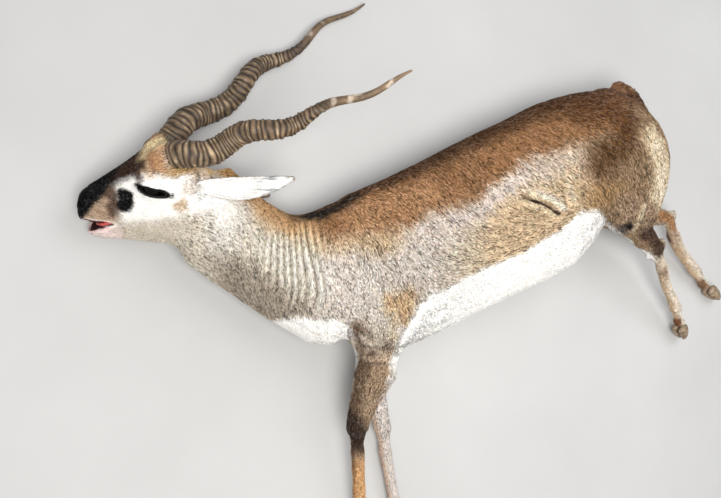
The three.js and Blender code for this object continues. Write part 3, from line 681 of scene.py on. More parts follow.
def settle(piece: bpy.types.Object, slot: Slot, *nodes: str) -> bpy.types.Object:
    """Rides a piece on the body, hides the nodes that it stands for and logs its triangles."""
    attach(piece, "root")
    if nodes:
        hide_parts(*nodes)
    triangles = sum(len(face.vertices) - 2 for face in piece.data.polygons)
    log.info("%s: %d triangles", piece.name, triangles)
    return piece


def merged_node(node: str) -> bmesh.types.BMesh:
    """A CAD node's mesh with its loose triangles joined."""
    bm = bmesh.new()
    bm.from_mesh(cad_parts[node].data)
    bmesh.ops.remove_doubles(bm, verts=bm.verts, dist=1e-6)
    return bm


class Finish:
    """A node material, built once for all pieces that share it."""

    def __init__(self, name: str) -> None:
        """Starts a material with a Principled shader.

        Args:
            name: The material's name.
        """
        self.material = bpy.data.materials.new(name)
        self.material.use_nodes = True
        self.nodes = self.material.node_tree.nodes
        self.links = self.material.node_tree.links
        self.shader = self.nodes["Principled BSDF"]

    def add(self, kind: str, **values: object) -> bpy.types.Node:
        """A node with its inputs and settings.

        Args:
            kind: The node's type.
            **values: Inputs by name with underscores for spaces, or settings of the node.

        Returns:
            The node.
        """
        node = self.nodes.new(kind)
        for name, value in values.items():
            label = name.replace("_", " ")
            if label in node.inputs:
                node.inputs[label].default_value = value
            else:
                setattr(node, name, value)
        return node

    def join(self, source: bpy.types.NodeSocket, target: bpy.types.NodeSocket) -> None:
        """Links two sockets."""
        self.links.new(source, target)

    def place(self, scale: tuple[float, float, float] = (1.0, 1.0, 1.0)) -> bpy.types.NodeSocket:
        """Object coordinates, stretched."""
        at = self.add("ShaderNodeTexCoord")
        turn = self.add("ShaderNodeMapping")
        turn.inputs["Scale"].default_value = scale
        self.join(at.outputs["Object"], turn.inputs["Vector"])
        return turn.outputs["Vector"]

    def noise(self, scale: float, detail: float = 4.0, rough: float = 0.6, where: object = None) -> bpy.types.NodeSocket:
        """A noise over the piece.

        Args:
            scale: Its scale in one over metres.
            detail: Its octaves.
            rough: Its roughness.
            where: Coordinates, or None for the object's.

        Returns:
            The noise's value.
        """
        node = self.add("ShaderNodeTexNoise", Scale=scale, Detail=detail, Roughness=rough)
        self.join(where or self.place(), node.inputs["Vector"])
        return node.outputs["Fac"]

    def ramp(self, value: bpy.types.NodeSocket, *stops: tuple[float, tuple[float, ...]]) -> bpy.types.NodeSocket:
        """A colour ramp over a value."""
        node = self.add("ShaderNodeValToRGB")
        points = node.color_ramp.elements
        while len(points) < len(stops):
            points.new(0.5)
        for point, (at, colour) in zip(points, stops):
            point.position = at
            point.color = (*colour[:3], 1.0)
        self.join(value, node.inputs["Fac"])
        return node.outputs["Color"]

    def mixed(
        self, kind: str, share: object, first: object, second: object
    ) -> bpy.types.NodeSocket:
        """Two colours mixed.

        Args:
            kind: The way of mixing.
            share: A number or a socket.
            first: A colour or a socket.
            second: A colour or a socket.

        Returns:
            The mixed colour.
        """
        node = self.add("ShaderNodeMix", data_type="RGBA", blend_type=kind)
        for socket, value in zip((node.inputs[0], node.inputs[6], node.inputs[7]), (share, first, second)):
            if isinstance(value, bpy.types.NodeSocket):
                self.join(value, socket)
            elif isinstance(value, (int, float)):
                socket.default_value = value
            else:
                socket.default_value = (*value[:3], 1.0)
        return node.outputs[2]

    def bump(self, height: bpy.types.NodeSocket, distance: float, strength: float = 1.0) -> None:
        """Raises the surface by a height."""
        node = self.add("ShaderNodeBump", Strength=strength, Distance=distance)
        self.join(height, node.inputs["Height"])
        if self.shader.inputs["Normal"].is_linked:
            self.join(self.shader.inputs["Normal"].links[0].from_socket, node.inputs["Normal"])
        self.join(node.outputs["Normal"], self.shader.inputs["Normal"])

    def set(self, **values: float) -> None:
        """Sets the shader's own sockets."""
        for name, value in values.items():
            self.shader.inputs[name.replace("_", " ")].default_value = value


@dataclass(frozen=True)
class Hair:
    """The coat's finish: the painted colours, broken up as hair does.

    Attributes:
        name: The material's name.
        roughness: Mean roughness.
        sheen: Strength of the sheen.
        specular: Specular level.
        fine: Depth of the bump of single hairs, in metres.
    """

    name: str
    roughness: float = 0.62
    sheen: float = 0.015
    specular: float = 0.09
    fine: float = 0.0004

    def build(self) -> bpy.types.Material:
        """Makes the material."""
        finish = Finish(self.name)
        painted = finish.add("ShaderNodeAttribute", attribute_name=ATTRIBUTE).outputs["Color"]
        patches = finish.ramp(finish.noise(38.0, 5.0, 0.65), (0.3, (0.92, 0.91, 0.9)), (0.7, (1.06, 1.06, 1.06)))
        flecks = finish.ramp(finish.noise(420.0, 3.0, 0.7), (0.32, (0.84, 0.82, 0.8)), (0.56, (1.04, 1.04, 1.04)))
        base = finish.mixed("MULTIPLY", 1.0, painted, patches)
        base = finish.mixed("MULTIPLY", 0.8, base, flecks)
        finish.join(base, finish.shader.inputs["Base Color"])
        rough = finish.add("ShaderNodeMapRange", From_Min=0.3, From_Max=0.7, To_Min=self.roughness - 0.1,
                           To_Max=self.roughness + 0.14)
        finish.join(finish.noise(160.0), rough.inputs["Value"])
        finish.join(rough.outputs["Result"], finish.shader.inputs["Roughness"])
        finish.set(Sheen_Weight=self.sheen, Sheen_Roughness=0.4, Specular_IOR_Level=self.specular)
        finish.bump(finish.noise(900.0, 3.0, 0.6, finish.place((0.5, 0.5, 1.4))), self.fine, 0.6)
        return finish.material


@dataclass(frozen=True)
class HornFinish:
    """Ringed horn: painted shade in dark grooves, pale crests that are partly worn and partly painted highlight, and
    fine streaks along it.
    """

    name: str = "ringed_horn"

    def build(self) -> bpy.types.Material:
        """Makes the material."""
        finish = Finish(self.name)
        painted = finish.add("ShaderNodeAttribute", attribute_name=ATTRIBUTE).outputs["Color"]
        stains = finish.ramp(finish.noise(55.0, 6.0, 0.7), (0.3, (0.66, 0.62, 0.58)), (0.68, (1.2, 1.16, 1.1)))
        scores = finish.ramp(finish.noise(700.0, 3.0, 0.7), (0.35, (0.7, 0.68, 0.66)), (0.6, (1.08, 1.08, 1.08)))
        base = finish.mixed("MULTIPLY", 0.9, painted, stains)
        finish.join(finish.mixed("MULTIPLY", 0.7, base, scores), finish.shader.inputs["Base Color"])
        finish.set(Roughness=0.55, Specular_IOR_Level=0.4)
        finish.bump(finish.noise(260.0, 5.0, 0.7), 0.0007, 0.7)
        finish.bump(finish.noise(1100.0, 3.0, 0.6), 0.0002, 0.6)
        return finish.material


@dataclass(frozen=True)
class EyeFinish:
    """Wet black eye with a deep brown ring in it."""

    name: str = "wet_eye"

    def build(self) -> bpy.types.Material:
        """Makes the material."""
        finish = Finish(self.name)
        depth = finish.ramp(finish.noise(240.0, 4.0, 0.6), (0.35, (0.001, 0.001, 0.001)), (0.7, (0.007, 0.004, 0.003)))
        finish.join(depth, finish.shader.inputs["Base Color"])
        finish.set(Roughness=0.05, Specular_IOR_Level=0.22)
        finish.bump(finish.noise(90.0, 2.0, 0.4), 0.0001, 0.2)
        return finish.material


@dataclass(frozen=True)
class WetFlesh:
    """Bare wet flesh of the tongue, lips or lid rims.

    Attributes:
        name: The material's name.
        low: Darker colour.
        high: Lighter colour.
        roughness: Its roughness.
        specular: Its specular level.
    """

    name: str
    low: tuple[float, float, float]
    high: tuple[float, float, float]
    roughness: float = 0.3
    specular: float = 0.5

    def build(self) -> bpy.types.Material:
        """Makes the material."""
        finish = Finish(self.name)
        colour = finish.ramp(finish.noise(130.0, 5.0, 0.65), (0.34, self.low), (0.68, self.high))
        finish.join(colour, finish.shader.inputs["Base Color"])
        finish.set(Roughness=self.roughness, Specular_IOR_Level=self.specular, Subsurface_Weight=0.08, Subsurface_Scale=0.004)
        finish.bump(finish.noise(900.0, 3.0, 0.6), 0.0004, 0.6)
        return finish.material


@dataclass(frozen=True)
class HoofFinish:
    """Hoof horn: tan grey with growth rings and worn, darker edges."""

    name: str = "hoof_horn"

    def build(self) -> bpy.types.Material:
        """Makes the material."""
        finish = Finish(self.name)
        tone = finish.ramp(
            finish.noise(120.0, 6.0, 0.7), (0.3, rgb(84, 68, 54)), (0.52, rgb(150, 130, 106)), (0.75, rgb(188, 170, 144))
        )
        lines = finish.ramp(
            finish.noise(260.0, 2.0, 0.5, finish.place((0.4, 2.2, 0.6))), (0.4, (0.7, 0.68, 0.66)), (0.6, (1.05, 1.05, 1.05))
        )
        finish.join(finish.mixed("MULTIPLY", 0.8, tone, lines), finish.shader.inputs["Base Color"])
        finish.set(Roughness=0.45, Specular_IOR_Level=0.45)
        finish.bump(finish.noise(300.0, 4.0, 0.6, finish.place((0.4, 2.2, 0.6))), 0.0006, 0.6)
        return finish.material


@dataclass
class Skin:
    """One closed skin over the whole body, head, legs and tail.

    Attributes:
        voxel: Edge of the grid that joins the solids, in metres.
        inflate: How far the solids grow first, so that they meet.
        reach: How far a rounded crease reaches to each side, in metres.
        rounds: Rounds of smoothing in it.
        jaw_reach: The same where the head meets the neck.
        jaw_rounds: The rounds there.
        elbow_reach: The reach where a foreleg leaves its shoulder.
        elbow_rounds: The rounds there.
        coronet: How far the pasterns run on into the hooves, in metres.
        depths: Depth of the coat over each kind of part, in millimetres.
    """

    markings: Markings
    voxel: float = 0.0042
    inflate: float = 0.0008
    reach: float = 0.02
    rounds: int = 36
    jaw_reach: float = 0.034
    jaw_rounds: int = 130
    elbow_reach: float = 0.03
    elbow_rounds: int = 90
    coronet: float = 0.007
    depths: dict[str, float] = field(
        default_factory=lambda: {"head": 0.9, "neck": 1.9, "torso": 1.9, "thigh": 1.6, "shoulder": 1.8, "tail": 3.0,
                                 "forearm": 1.2, "gaskin": 1.0, "cannon": 0.8, "pastern": 0.8}
    )

    def __post_init__(self) -> None:
        """Finds the nodes of flesh."""
        bare = ("eye", "ear", "horn", "hoof", "tongue")
        self.nodes = sorted(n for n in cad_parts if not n.startswith(bare) and "hoof" not in n)

    def build(self, finish: bpy.types.Material) -> tuple[bpy.types.Object, Surface]:
        """Joins the solids of flesh into the skin, smooths, folds and paints it.

        Args:
            finish: The skin's material.

        Returns:
            The skin's object, and its surface for the coat.
        """
        raw = self.joined()
        mesh = self.remeshed(raw)
        self.relax(mesh, 16)
        self.refine(mesh)
        self.relax(mesh, 6)
        points, normals = self.vertices(mesh)
        part = self.nearest_part(points, raw)
        bpy.data.objects.remove(raw)
        self.fillet(mesh, part)
        points, normals = self.vertices(mesh)
        points = self.shaped(points, normals, part)
        mesh.vertices.foreach_set("co", to_row(points).astype(np.float32).ravel())
        mesh.update()
        self.relax(mesh, 2)
        piece = new_object("skin", mesh)
        unwrap(piece)
        points, normals = self.vertices(mesh)
        colours = self.markings.paint(points, part, self.nodes)
        colours = shaded(colours, points, part, self.nodes)
        set_colours(mesh, colours)
        mesh.polygons.foreach_set("use_smooth", np.ones(len(mesh.polygons), bool))
        mesh.materials.append(finish)
        surface = read_surface(mesh, part)
        return settle(piece, Slot.BODY, *self.nodes), surface

    def joined(self) -> bpy.types.Object:
        """All nodes of flesh in one mesh, each grown a little, with the node's number on its faces."""
        whole = bmesh.new()
        number = whole.faces.layers.int.new("node")
        for i, node in enumerate(self.nodes):
            bm = merged_node(node)
            bm.normal_update()
            for vert in bm.verts:
                vert.co += vert.normal * self.inflate
            if "pastern" in node:
                self.lengthen(bm, next(line for limb, line in LEGS.items() if node.startswith(limb.value)))
            grown = [whole.verts.new(vert.co) for vert in bm.verts]
            for face in bm.faces:
                whole.faces.new([grown[vert.index] for vert in face.verts])[number] = i
            bm.free()
        for horn in HORNS:
            start = len(whole.faces)
            whole.from_mesh(horn.pedicle())
            whole.faces.ensure_lookup_table()
            for face in whole.faces[start:]:
                face[number] = self.nodes.index("head")
        mesh = bpy.data.meshes.new("joined")
        whole.to_mesh(mesh)
        whole.free()
        return new_object("joined", mesh)

    def lengthen(self, bm: bmesh.types.BMesh, line: LegLine) -> None:
        """Draws the end of a pastern into its hoof, so that the skin still closes on the hoof when it is thinned."""
        way = unit(np.diff(np.array(line.points[-2:], float), axis=0))[0]
        along = np.array([vert.co for vert in bm.verts]) @ way
        for vert, far in zip(bm.verts, along > along.max() - 0.006):
            if far:
                vert.co += Vector(way) * self.coronet

    def remeshed(self, raw: bpy.types.Object) -> bpy.types.Mesh:
        """The solids as one closed net of squares."""
        grid = raw.modifiers.new("grid", "REMESH")
        grid.mode = "VOXEL"
        grid.voxel_size = self.voxel
        net = raw.evaluated_get(bpy.context.evaluated_depsgraph_get())
        mesh = bpy.data.meshes.new_from_object(net)
        mesh.name = "skin"
        raw.modifiers.clear()
        return mesh

    @staticmethod
    def vertices(mesh: bpy.types.Mesh) -> tuple[np.ndarray, np.ndarray]:
        """Places in the design frame and normals of a mesh's vertices."""
        flat = np.empty(len(mesh.vertices) * 3, np.float32)
        mesh.vertices.foreach_get("co", flat)
        away = np.empty(len(mesh.vertices) * 3, np.float32)
        mesh.vertex_normals.foreach_get("vector", away)
        return to_design(flat.reshape(-1, 3)), away.reshape(-1, 3).astype(float)

    @staticmethod
    def relax(mesh: bpy.types.Mesh, rounds: int) -> None:
        """Smooths a mesh without shrinking it."""
        flat = np.empty(len(mesh.vertices) * 3, np.float32)
        mesh.vertices.foreach_get("co", flat)
        at = flat.reshape(-1, 3).astype(float)
        ends = np.empty(len(mesh.edges) * 2, np.int32)
        mesh.edges.foreach_get("vertices", ends)
        a, b = ends.reshape(-1, 2).T
        count = np.maximum(np.bincount(np.concatenate([a, b]), minlength=len(at)), 1)[:, None]
        for _ in range(rounds):
            for amount in (0.55, -0.57):
                total = np.stack(
                    [np.bincount(a, at[b, i], len(at)) + np.bincount(b, at[a, i], len(at)) for i in range(3)], 1
                )
                at += amount * (total / count - at)
        mesh.vertices.foreach_set("co", at.astype(np.float32).ravel())
        mesh.update()

    def fillet(self, mesh: bpy.types.Mesh, part: np.ndarray) -> None:
        """Rounds the creases where one part of the body meets the next, and most where the head meets the neck.

        Args:
            mesh: The skin's mesh.
            part: Number of the node under each vertex.
        """
        flat = np.empty(len(mesh.vertices) * 3, np.float32)
        mesh.vertices.foreach_get("co", flat)
        at = flat.reshape(-1, 3).astype(float)
        ends = np.empty(len(mesh.edges) * 2, np.int32)
        mesh.edges.foreach_get("vertices", ends)
        a, b = ends.reshape(-1, 2).T
        count = np.maximum(np.bincount(np.concatenate([a, b]), minlength=len(at)), 1)[:, None]
        jaw = np.isin(part, [self.nodes.index("head"), self.nodes.index("neck")])
        elbow = np.isin(part, [self.nodes.index(name) for name in limb_nodes("shoulder", "forearm")])
        creases = (
            (self.reach, self.rounds, None),
            (self.jaw_reach, self.jaw_rounds, jaw),
            (self.elbow_reach, self.elbow_rounds, elbow),
        )
        for reach, rounds, only in creases:
            seam = part[a] != part[b]
            if only is not None:
                seam &= only[a] & only[b]
            tree = KDTree(int(seam.sum()))
            for i, edge in enumerate(np.flatnonzero(seam)):
                tree.insert(at[a[edge]], i)
            tree.balance()
            gap = np.array([tree.find(place)[2] for place in at])
            soft = ease(reach, reach * 0.25, gap)[:, None] * 0.8
            for _ in range(rounds):
                total = np.stack(
                    [np.bincount(a, at[b, i], len(at)) + np.bincount(b, at[a, i], len(at)) for i in range(3)], 1
                )
                at += soft * (total / count - at)
        mesh.vertices.foreach_set("co", at.astype(np.float32).ravel())
        mesh.update()

    def refine(self, mesh: bpy.types.Mesh) -> None:
        """Halves the net over the face, the folds of the neck and the flank's crease."""
        bm = bmesh.new()
        bm.from_mesh(mesh)
        centres = to_design(np.array([edge.verts[0].co + edge.verts[1].co for edge in bm.edges]) * 0.5)
        f, _, _ = HEAD.read(centres)
        fine = (f > -66) & (centres[:, 0] < 150)
        x, y, z = centres.T
        fine |= (x > 200) & (x < 306) & (y > -46) & (y < 112) & (z > MIDDLE)
        fine |= (x > 612) & (x < 712) & (y > 106) & (y < 160) & (z > 150)
        edges = [edge for edge, chosen in zip(bm.edges, fine) if chosen]
        bmesh.ops.subdivide_edges(bm, edges=edges, cuts=1, use_grid_fill=True)
        bm.to_mesh(mesh)
        bm.free()
        mesh.update()

    def nearest_part(self, points: np.ndarray, raw: bpy.types.Object) -> np.ndarray:
        """For each point, the number of the node whose surface lies nearest."""
        tree = BVHTree.FromObject(raw, bpy.context.evaluated_depsgraph_get())
        number = np.empty(len(raw.data.polygons), np.int32)
        raw.data.attributes["node"].data.foreach_get("value", number)
        return np.array([number[tree.find_nearest(Vector(p))[2]] for p in to_row(points)])

    def shaped(self, points: np.ndarray, normals: np.ndarray, part: np.ndarray) -> np.ndarray:
        """Sinks the skin below the coat, then presses in folds, sockets, nostrils and the mouth.

        Args:
            points: Places in the design frame.
            normals: Outward normals.
            part: Number of the node under each place.

        Returns:
            The new places.
        """
        depth = np.array([next(d for key, d in self.depths.items() if key in name) for name in self.nodes])[part]
        move = -(depth + self.inflate * 1000.0)
        for fold in FOLDS:
            move += fold.move(points)
        f, u, side = HEAD.read(points)
        head = part == self.nodes.index("head")
        slit = slit_share(f, u, 20.5, 6.6)
        move += head * np.where(np.abs(side) > 22, -12.0 * ease(1.12, 0.9, slit) + 1.5 * bell(slit - 1.45, 0.25), 0.0)
        mouth = ease(0.0, 1.5, mouth_top(f) - u) * ease(0.0, 1.5, u - mouth_floor(f)) * ease(59, 62, f) * ease(84, 76, f)
        move -= head * 8.0 * mouth * (np.abs(side) > 14)
        gland = np.hypot((f - 38) / 9, (u + 14) / 14)
        move += head * np.where(np.abs(side) > 14, -2.6 * ease(1.1, 0.5, gland) + 0.8 * bell(gland - 1.35, 0.25), 0.0)
        nostril = np.hypot((f - 107) / 8.0, (u + 31 - (f - 107) * 0.3) / 3.6)
        move += head * np.where(np.abs(side) > 6, -4.5 * ease(1.1, 0.5, nostril) + 0.7 * bell(nostril - 1.5, 0.3), 0.0)
        move += 6.0 * ease(36.0, 6.0, np.linalg.norm(points - np.array([854.0, 352.0, 106.0]), axis=1))
        move += grain(points, 40.0, 12) * 0.7
        return points + normals * move[:, None]


def unwrap(piece: bpy.types.Object) -> None:
    """Unwraps a piece's own shape for the bake."""
    piece.data.uv_layers.new(name=BAKE_MAP)
    bpy.context.view_layer.objects.active = piece
    piece.select_set(True)
    bpy.ops.object.mode_set(mode="EDIT")
    bpy.ops.mesh.select_all(action="SELECT")
    bpy.ops.uv.smart_project(angle_limit=math.radians(70.0), island_margin=0.004)
    bpy.ops.object.mode_set(mode="OBJECT")
    piece.select_set(False)


def mouth_top(forward: np.ndarray) -> np.ndarray:
    """Height of the upper lip's edge along the head."""
    return np.interp(forward, [58, 62, 69, 87, 103], [-60.5, -59.0, -55.5, -54.0, -53.0])


def mouth_floor(forward: np.ndarray) -> np.ndarray:
    """Height of the lower lip's edge along the head."""
    return np.interp(forward, [58, 62, 69, 80, 92, 103], [-60.5, -62.0, -64.5, -69.8, -74.5, -80.0])


def slit_share(forward: np.ndarray, up: np.ndarray, long: float, tall: float) -> np.ndarray:
    """How far out of the eye's opening a place is: 1 at the edge of an oval of these half sizes."""
    tilt = math.radians(15.0)
    along = (forward + 3) * math.cos(tilt) + (up - 5) * math.sin(tilt)
    across = -(forward + 3) * math.sin(tilt) + (up - 5) * math.cos(tilt)
    return np.hypot(along / long, across / tall)


def shaded(colours: np.ndarray, points: np.ndarray, part: np.ndarray, names: list[str]) -> np.ndarray:
    """Paints shade into the bottoms of folds, the mouth's inside, the nostrils and the eye's opening, and paints a
    highlight on the folds' ridges.
    """
    for fold in FOLDS:
        share = fold.shade(points)
        # painted shade in the fold's bottom; on its ridge the share is below zero and paints a highlight
        colours = blend(colours, colours * 0.16, share)
        colours = blend(colours, np.minimum(colours * 1.5 + 0.06, 0.95), -share)
    f, u, side = HEAD.read(points)
    side = np.abs(side)
    head = (part == names.index("head")).astype(float)
    # painted shade: the nostrils near black
    nostril = np.hypot((f - 107) / 8.0, (u + 31 - (f - 107) * 0.3) / 3.6)
    colours = blend(colours, rgb(8, 6, 7), head * ease(1.3, 0.9, nostril) * (side > 5))
    # near black in the eye's opening and round its edge: the lids' own dark edge, and painted shade in the socket round
    # the ball
    slit = slit_share(f, u, 21.0, 6.6)
    colours = blend(colours, rgb(6, 5, 5), head * ease(1.5, 1.2, slit) * (side > 22))
    # the mouth's inside: red flesh darkened with painted shade
    inside = ease(-1.0, 1.0, mouth_top(f) - u) * ease(-4.5, -3.0, u - mouth_floor(f)) * (f > 60) * (f < 106)
    inside *= np.maximum(ease(19.5, 17.5, side), ease(-1.0, 1.0, u - mouth_floor(f)))
    return blend(colours, rgb(52, 9, 11), head * inside)


@dataclass(frozen=True)
class Tufts:
    """Size and stance of the tufts of one piece of coat, in millimetres.

    Attributes:
        name: The piece's name.
        slot: Its material slot.
        parts: Nodes that it grows on.
        count: How many tufts.
        length: Their length.
        width: Their width.
        rise: How far their middle stands off the skin.
        spread: Random turn, in radians.
        tone: Random change of brightness.
        keep: Which of the places it may use, as a test on points and normals.
    """

    name: str
    slot: Slot
    parts: tuple[str, ...]
    count: int
    length: float
    width: float
    rise: float
    spread: float = 0.18
    tone: float = 0.5
    keep: object = None


class Lie:
    """The way the hair lies: from the nose back, down the legs, and along the tail."""

    guides = np.array([
        # x, y, direction x, direction y
        (60, 90, 0.95, -0.3), (120, 60, 0.85, -0.5), (150, 170, 0.95, -0.35), (160, 90, 0.8, -0.6),
        (190, 30, 0.6, -0.8), (215, 120, 0.5, -0.85), (235, 70, 0.05, -1.0), (240, -30, 0.1, -1.0),
        (262, 40, 0.05, -1.0), (262, 90, 0.1, -1.0), (262, 0, 0.0, -1.0), (285, 50, 0.1, -1.0), (285, 0, 0.1, -1.0),
        (305, 100, 0.5, -0.85), (310, 20, 0.4, -0.9), (300, -60, 0.8, -0.5), (345, 120, 0.8, -0.55),
        (360, 40, 0.45, -0.9), (395, -20, 0.2, -1.0), (400, -90, 0.05, -1.0), (350, -70, 0.6, -0.8),
        (430, 150, 0.62, -0.78), (450, 60, 0.7, -0.7), (450, -10, 0.5, -0.85), (520, 200, 0.55, -0.83),
        (540, 110, 0.75, -0.65), (520, 10, 0.88, 0.35), (600, 250, 0.6, -0.8), (610, 160, 0.7, -0.7),
        (620, 60, 0.87, 0.47), (680, 290, 0.75, -0.65), (690, 200, 0.75, -0.65), (700, 110, 0.86, 0.3),
        (700, 50, 0.85, 0.4), (770, 320, 0.9, -0.4), (770, 220, 0.7, -0.7), (770, 150, 0.6, -0.75),
        (840, 340, 0.95, 0.1), (860, 260, 0.55, -0.8), (850, 180, 0.35, -0.9), (870, 120, 0.6, -0.75),
        (930, 300, 0.5, -0.85), (925, 200, 0.05, -1.0), (910, 130, 0.4, -0.85),
    ], float)

    def __init__(self) -> None:
        """Reads the guides' directions."""
        self.at = self.guides[:, :2]
        self.way = unit(self.guides[:, 2:])

    def trunk(self, points: np.ndarray) -> np.ndarray:
        """Direction over the trunk and neck, before it is laid on the skin."""
        gap = ((points[:, None, :2] - self.at[None]) ** 2).sum(2)
        weight = np.exp(-gap / (2 * 38.0**2)) + 1e-12
        flow = weight @ self.way / weight.sum(1, keepdims=True)
        return np.concatenate([flow, np.zeros((len(points), 1))], 1)

    def read(self, points: np.ndarray, names: np.ndarray) -> np.ndarray:
        """Direction at each point, by the name of its node.

        Args:
            points: Places in the design frame.
            names: The node's name for each.

        Returns:
            Directions, not yet laid on the skin.
        """
        flow = self.trunk(points)
        head = names == "head"
        f, u, _ = HEAD.read(points[head])
        down = ease(10, -60, u) * 0.45
        flow[head] = -HEAD.forward[None] - HEAD.up[None] * down[:, None]
        tail = names == "tail"
        if tail.any():
            flow[tail] = along_path(points[tail], np.array(TAIL_LINE, float))[2]
        for horn in HORNS:
            near = ease(48, 28, np.linalg.norm(points[head] - np.array(horn.root), axis=1))[:, None]
            flow[head] = flow[head] * (1 - near) + unit(np.diff(horn.line(np.array([0.0, 0.06])), axis=0)) * near
        for limb, line in LEGS.items():
            here = np.char.startswith(names.astype(str), limb.value)
            if here.any():
                _, share, heading = along_path(points[here], np.array(line.points, float))
                start = (0.16, 0.3) if "fore" in limb.value else (0.36, 0.5)
                mixed = ease(*start, share)[:, None]
                flow[here] = unit(flow[here]) * (1 - mixed) + heading * mixed
        return unit(flow)


class Coat:
    """Solid tufts over a surface, each a thin closed wedge with its root under the skin."""

    faces = np.array([(0, 1, 3), (0, 3, 2), (1, 4, 3), (3, 4, 2), (0, 2, 1), (1, 2, 4)])
    patch = (np.array([(0.5, 0.0), (0.0, 0.45), (1.0, 0.45), (0.5, 0.5), (0.5, 1.0)]) - 0.5) * 0.003

    def __init__(self, surface: Surface, names: list[str], markings: Markings, lie: Lie) -> None:
        """Keeps what the tufts are grown from.

        Args:
            surface: The skin.
            names: The nodes of flesh.
            markings: The markings.
            lie: The lie of the hair.
        """
        self.surface = surface
        self.names = np.array(names)
        self.markings = markings
        self.lie = lie
        corners = surface.points[surface.corners]
        self.area = np.linalg.norm(np.cross(corners[:, 1] - corners[:, 0], corners[:, 2] - corners[:, 0]), axis=1) / 2
        self.face_part = surface.part[surface.corners[:, 0]]
        self.middle = corners.mean(1)

    def roots(self, tufts: Tufts, rng: np.random.Generator) -> tuple[np.ndarray, ...]:
        """Random places on the skin's triangles.

        Returns:
            Points, normals, map places and node numbers.
        """
        allowed = np.isin(self.names[self.face_part], tufts.parts)
        weight = self.area * allowed
        if tufts.keep is not None:
            weight = weight * tufts.keep(self.middle)
        face = rng.choice(len(weight), tufts.count, p=weight / weight.sum())
        share = rng.random((tufts.count, 2))
        share = np.where(share.sum(1, keepdims=True) > 1, 1 - share, share)
        share = np.concatenate([1 - share.sum(1, keepdims=True), share], 1)[:, :, None]
        corners = self.surface.corners[face]
        points = (self.surface.points[corners] * share).sum(1)
        normals = unit((self.surface.normals[corners] * share).sum(1))
        return points, normals, (self.surface.maps[face] * share).sum(1), self.face_part[face]

    def grow(self, tufts: Tufts, finish: bpy.types.Material, seed: int) -> bpy.types.Object:
        """Builds one piece of coat.

        Args:
            tufts: The size and place of its tufts.
            finish: The hair's material.
            seed: Seed of its random draws.

        Returns:
            The piece.
        """
        rng = np.random.default_rng(seed)
        points, normals, maps, part = self.roots(tufts, rng)
        colours = self.markings.paint(points, part, list(self.names))
        colours = shaded(colours, points, part, list(self.names))
        flow = self.lie.read(points, self.names[part])
        return lay_tufts(tufts, points, normals, flow, colours, maps, finish, rng)


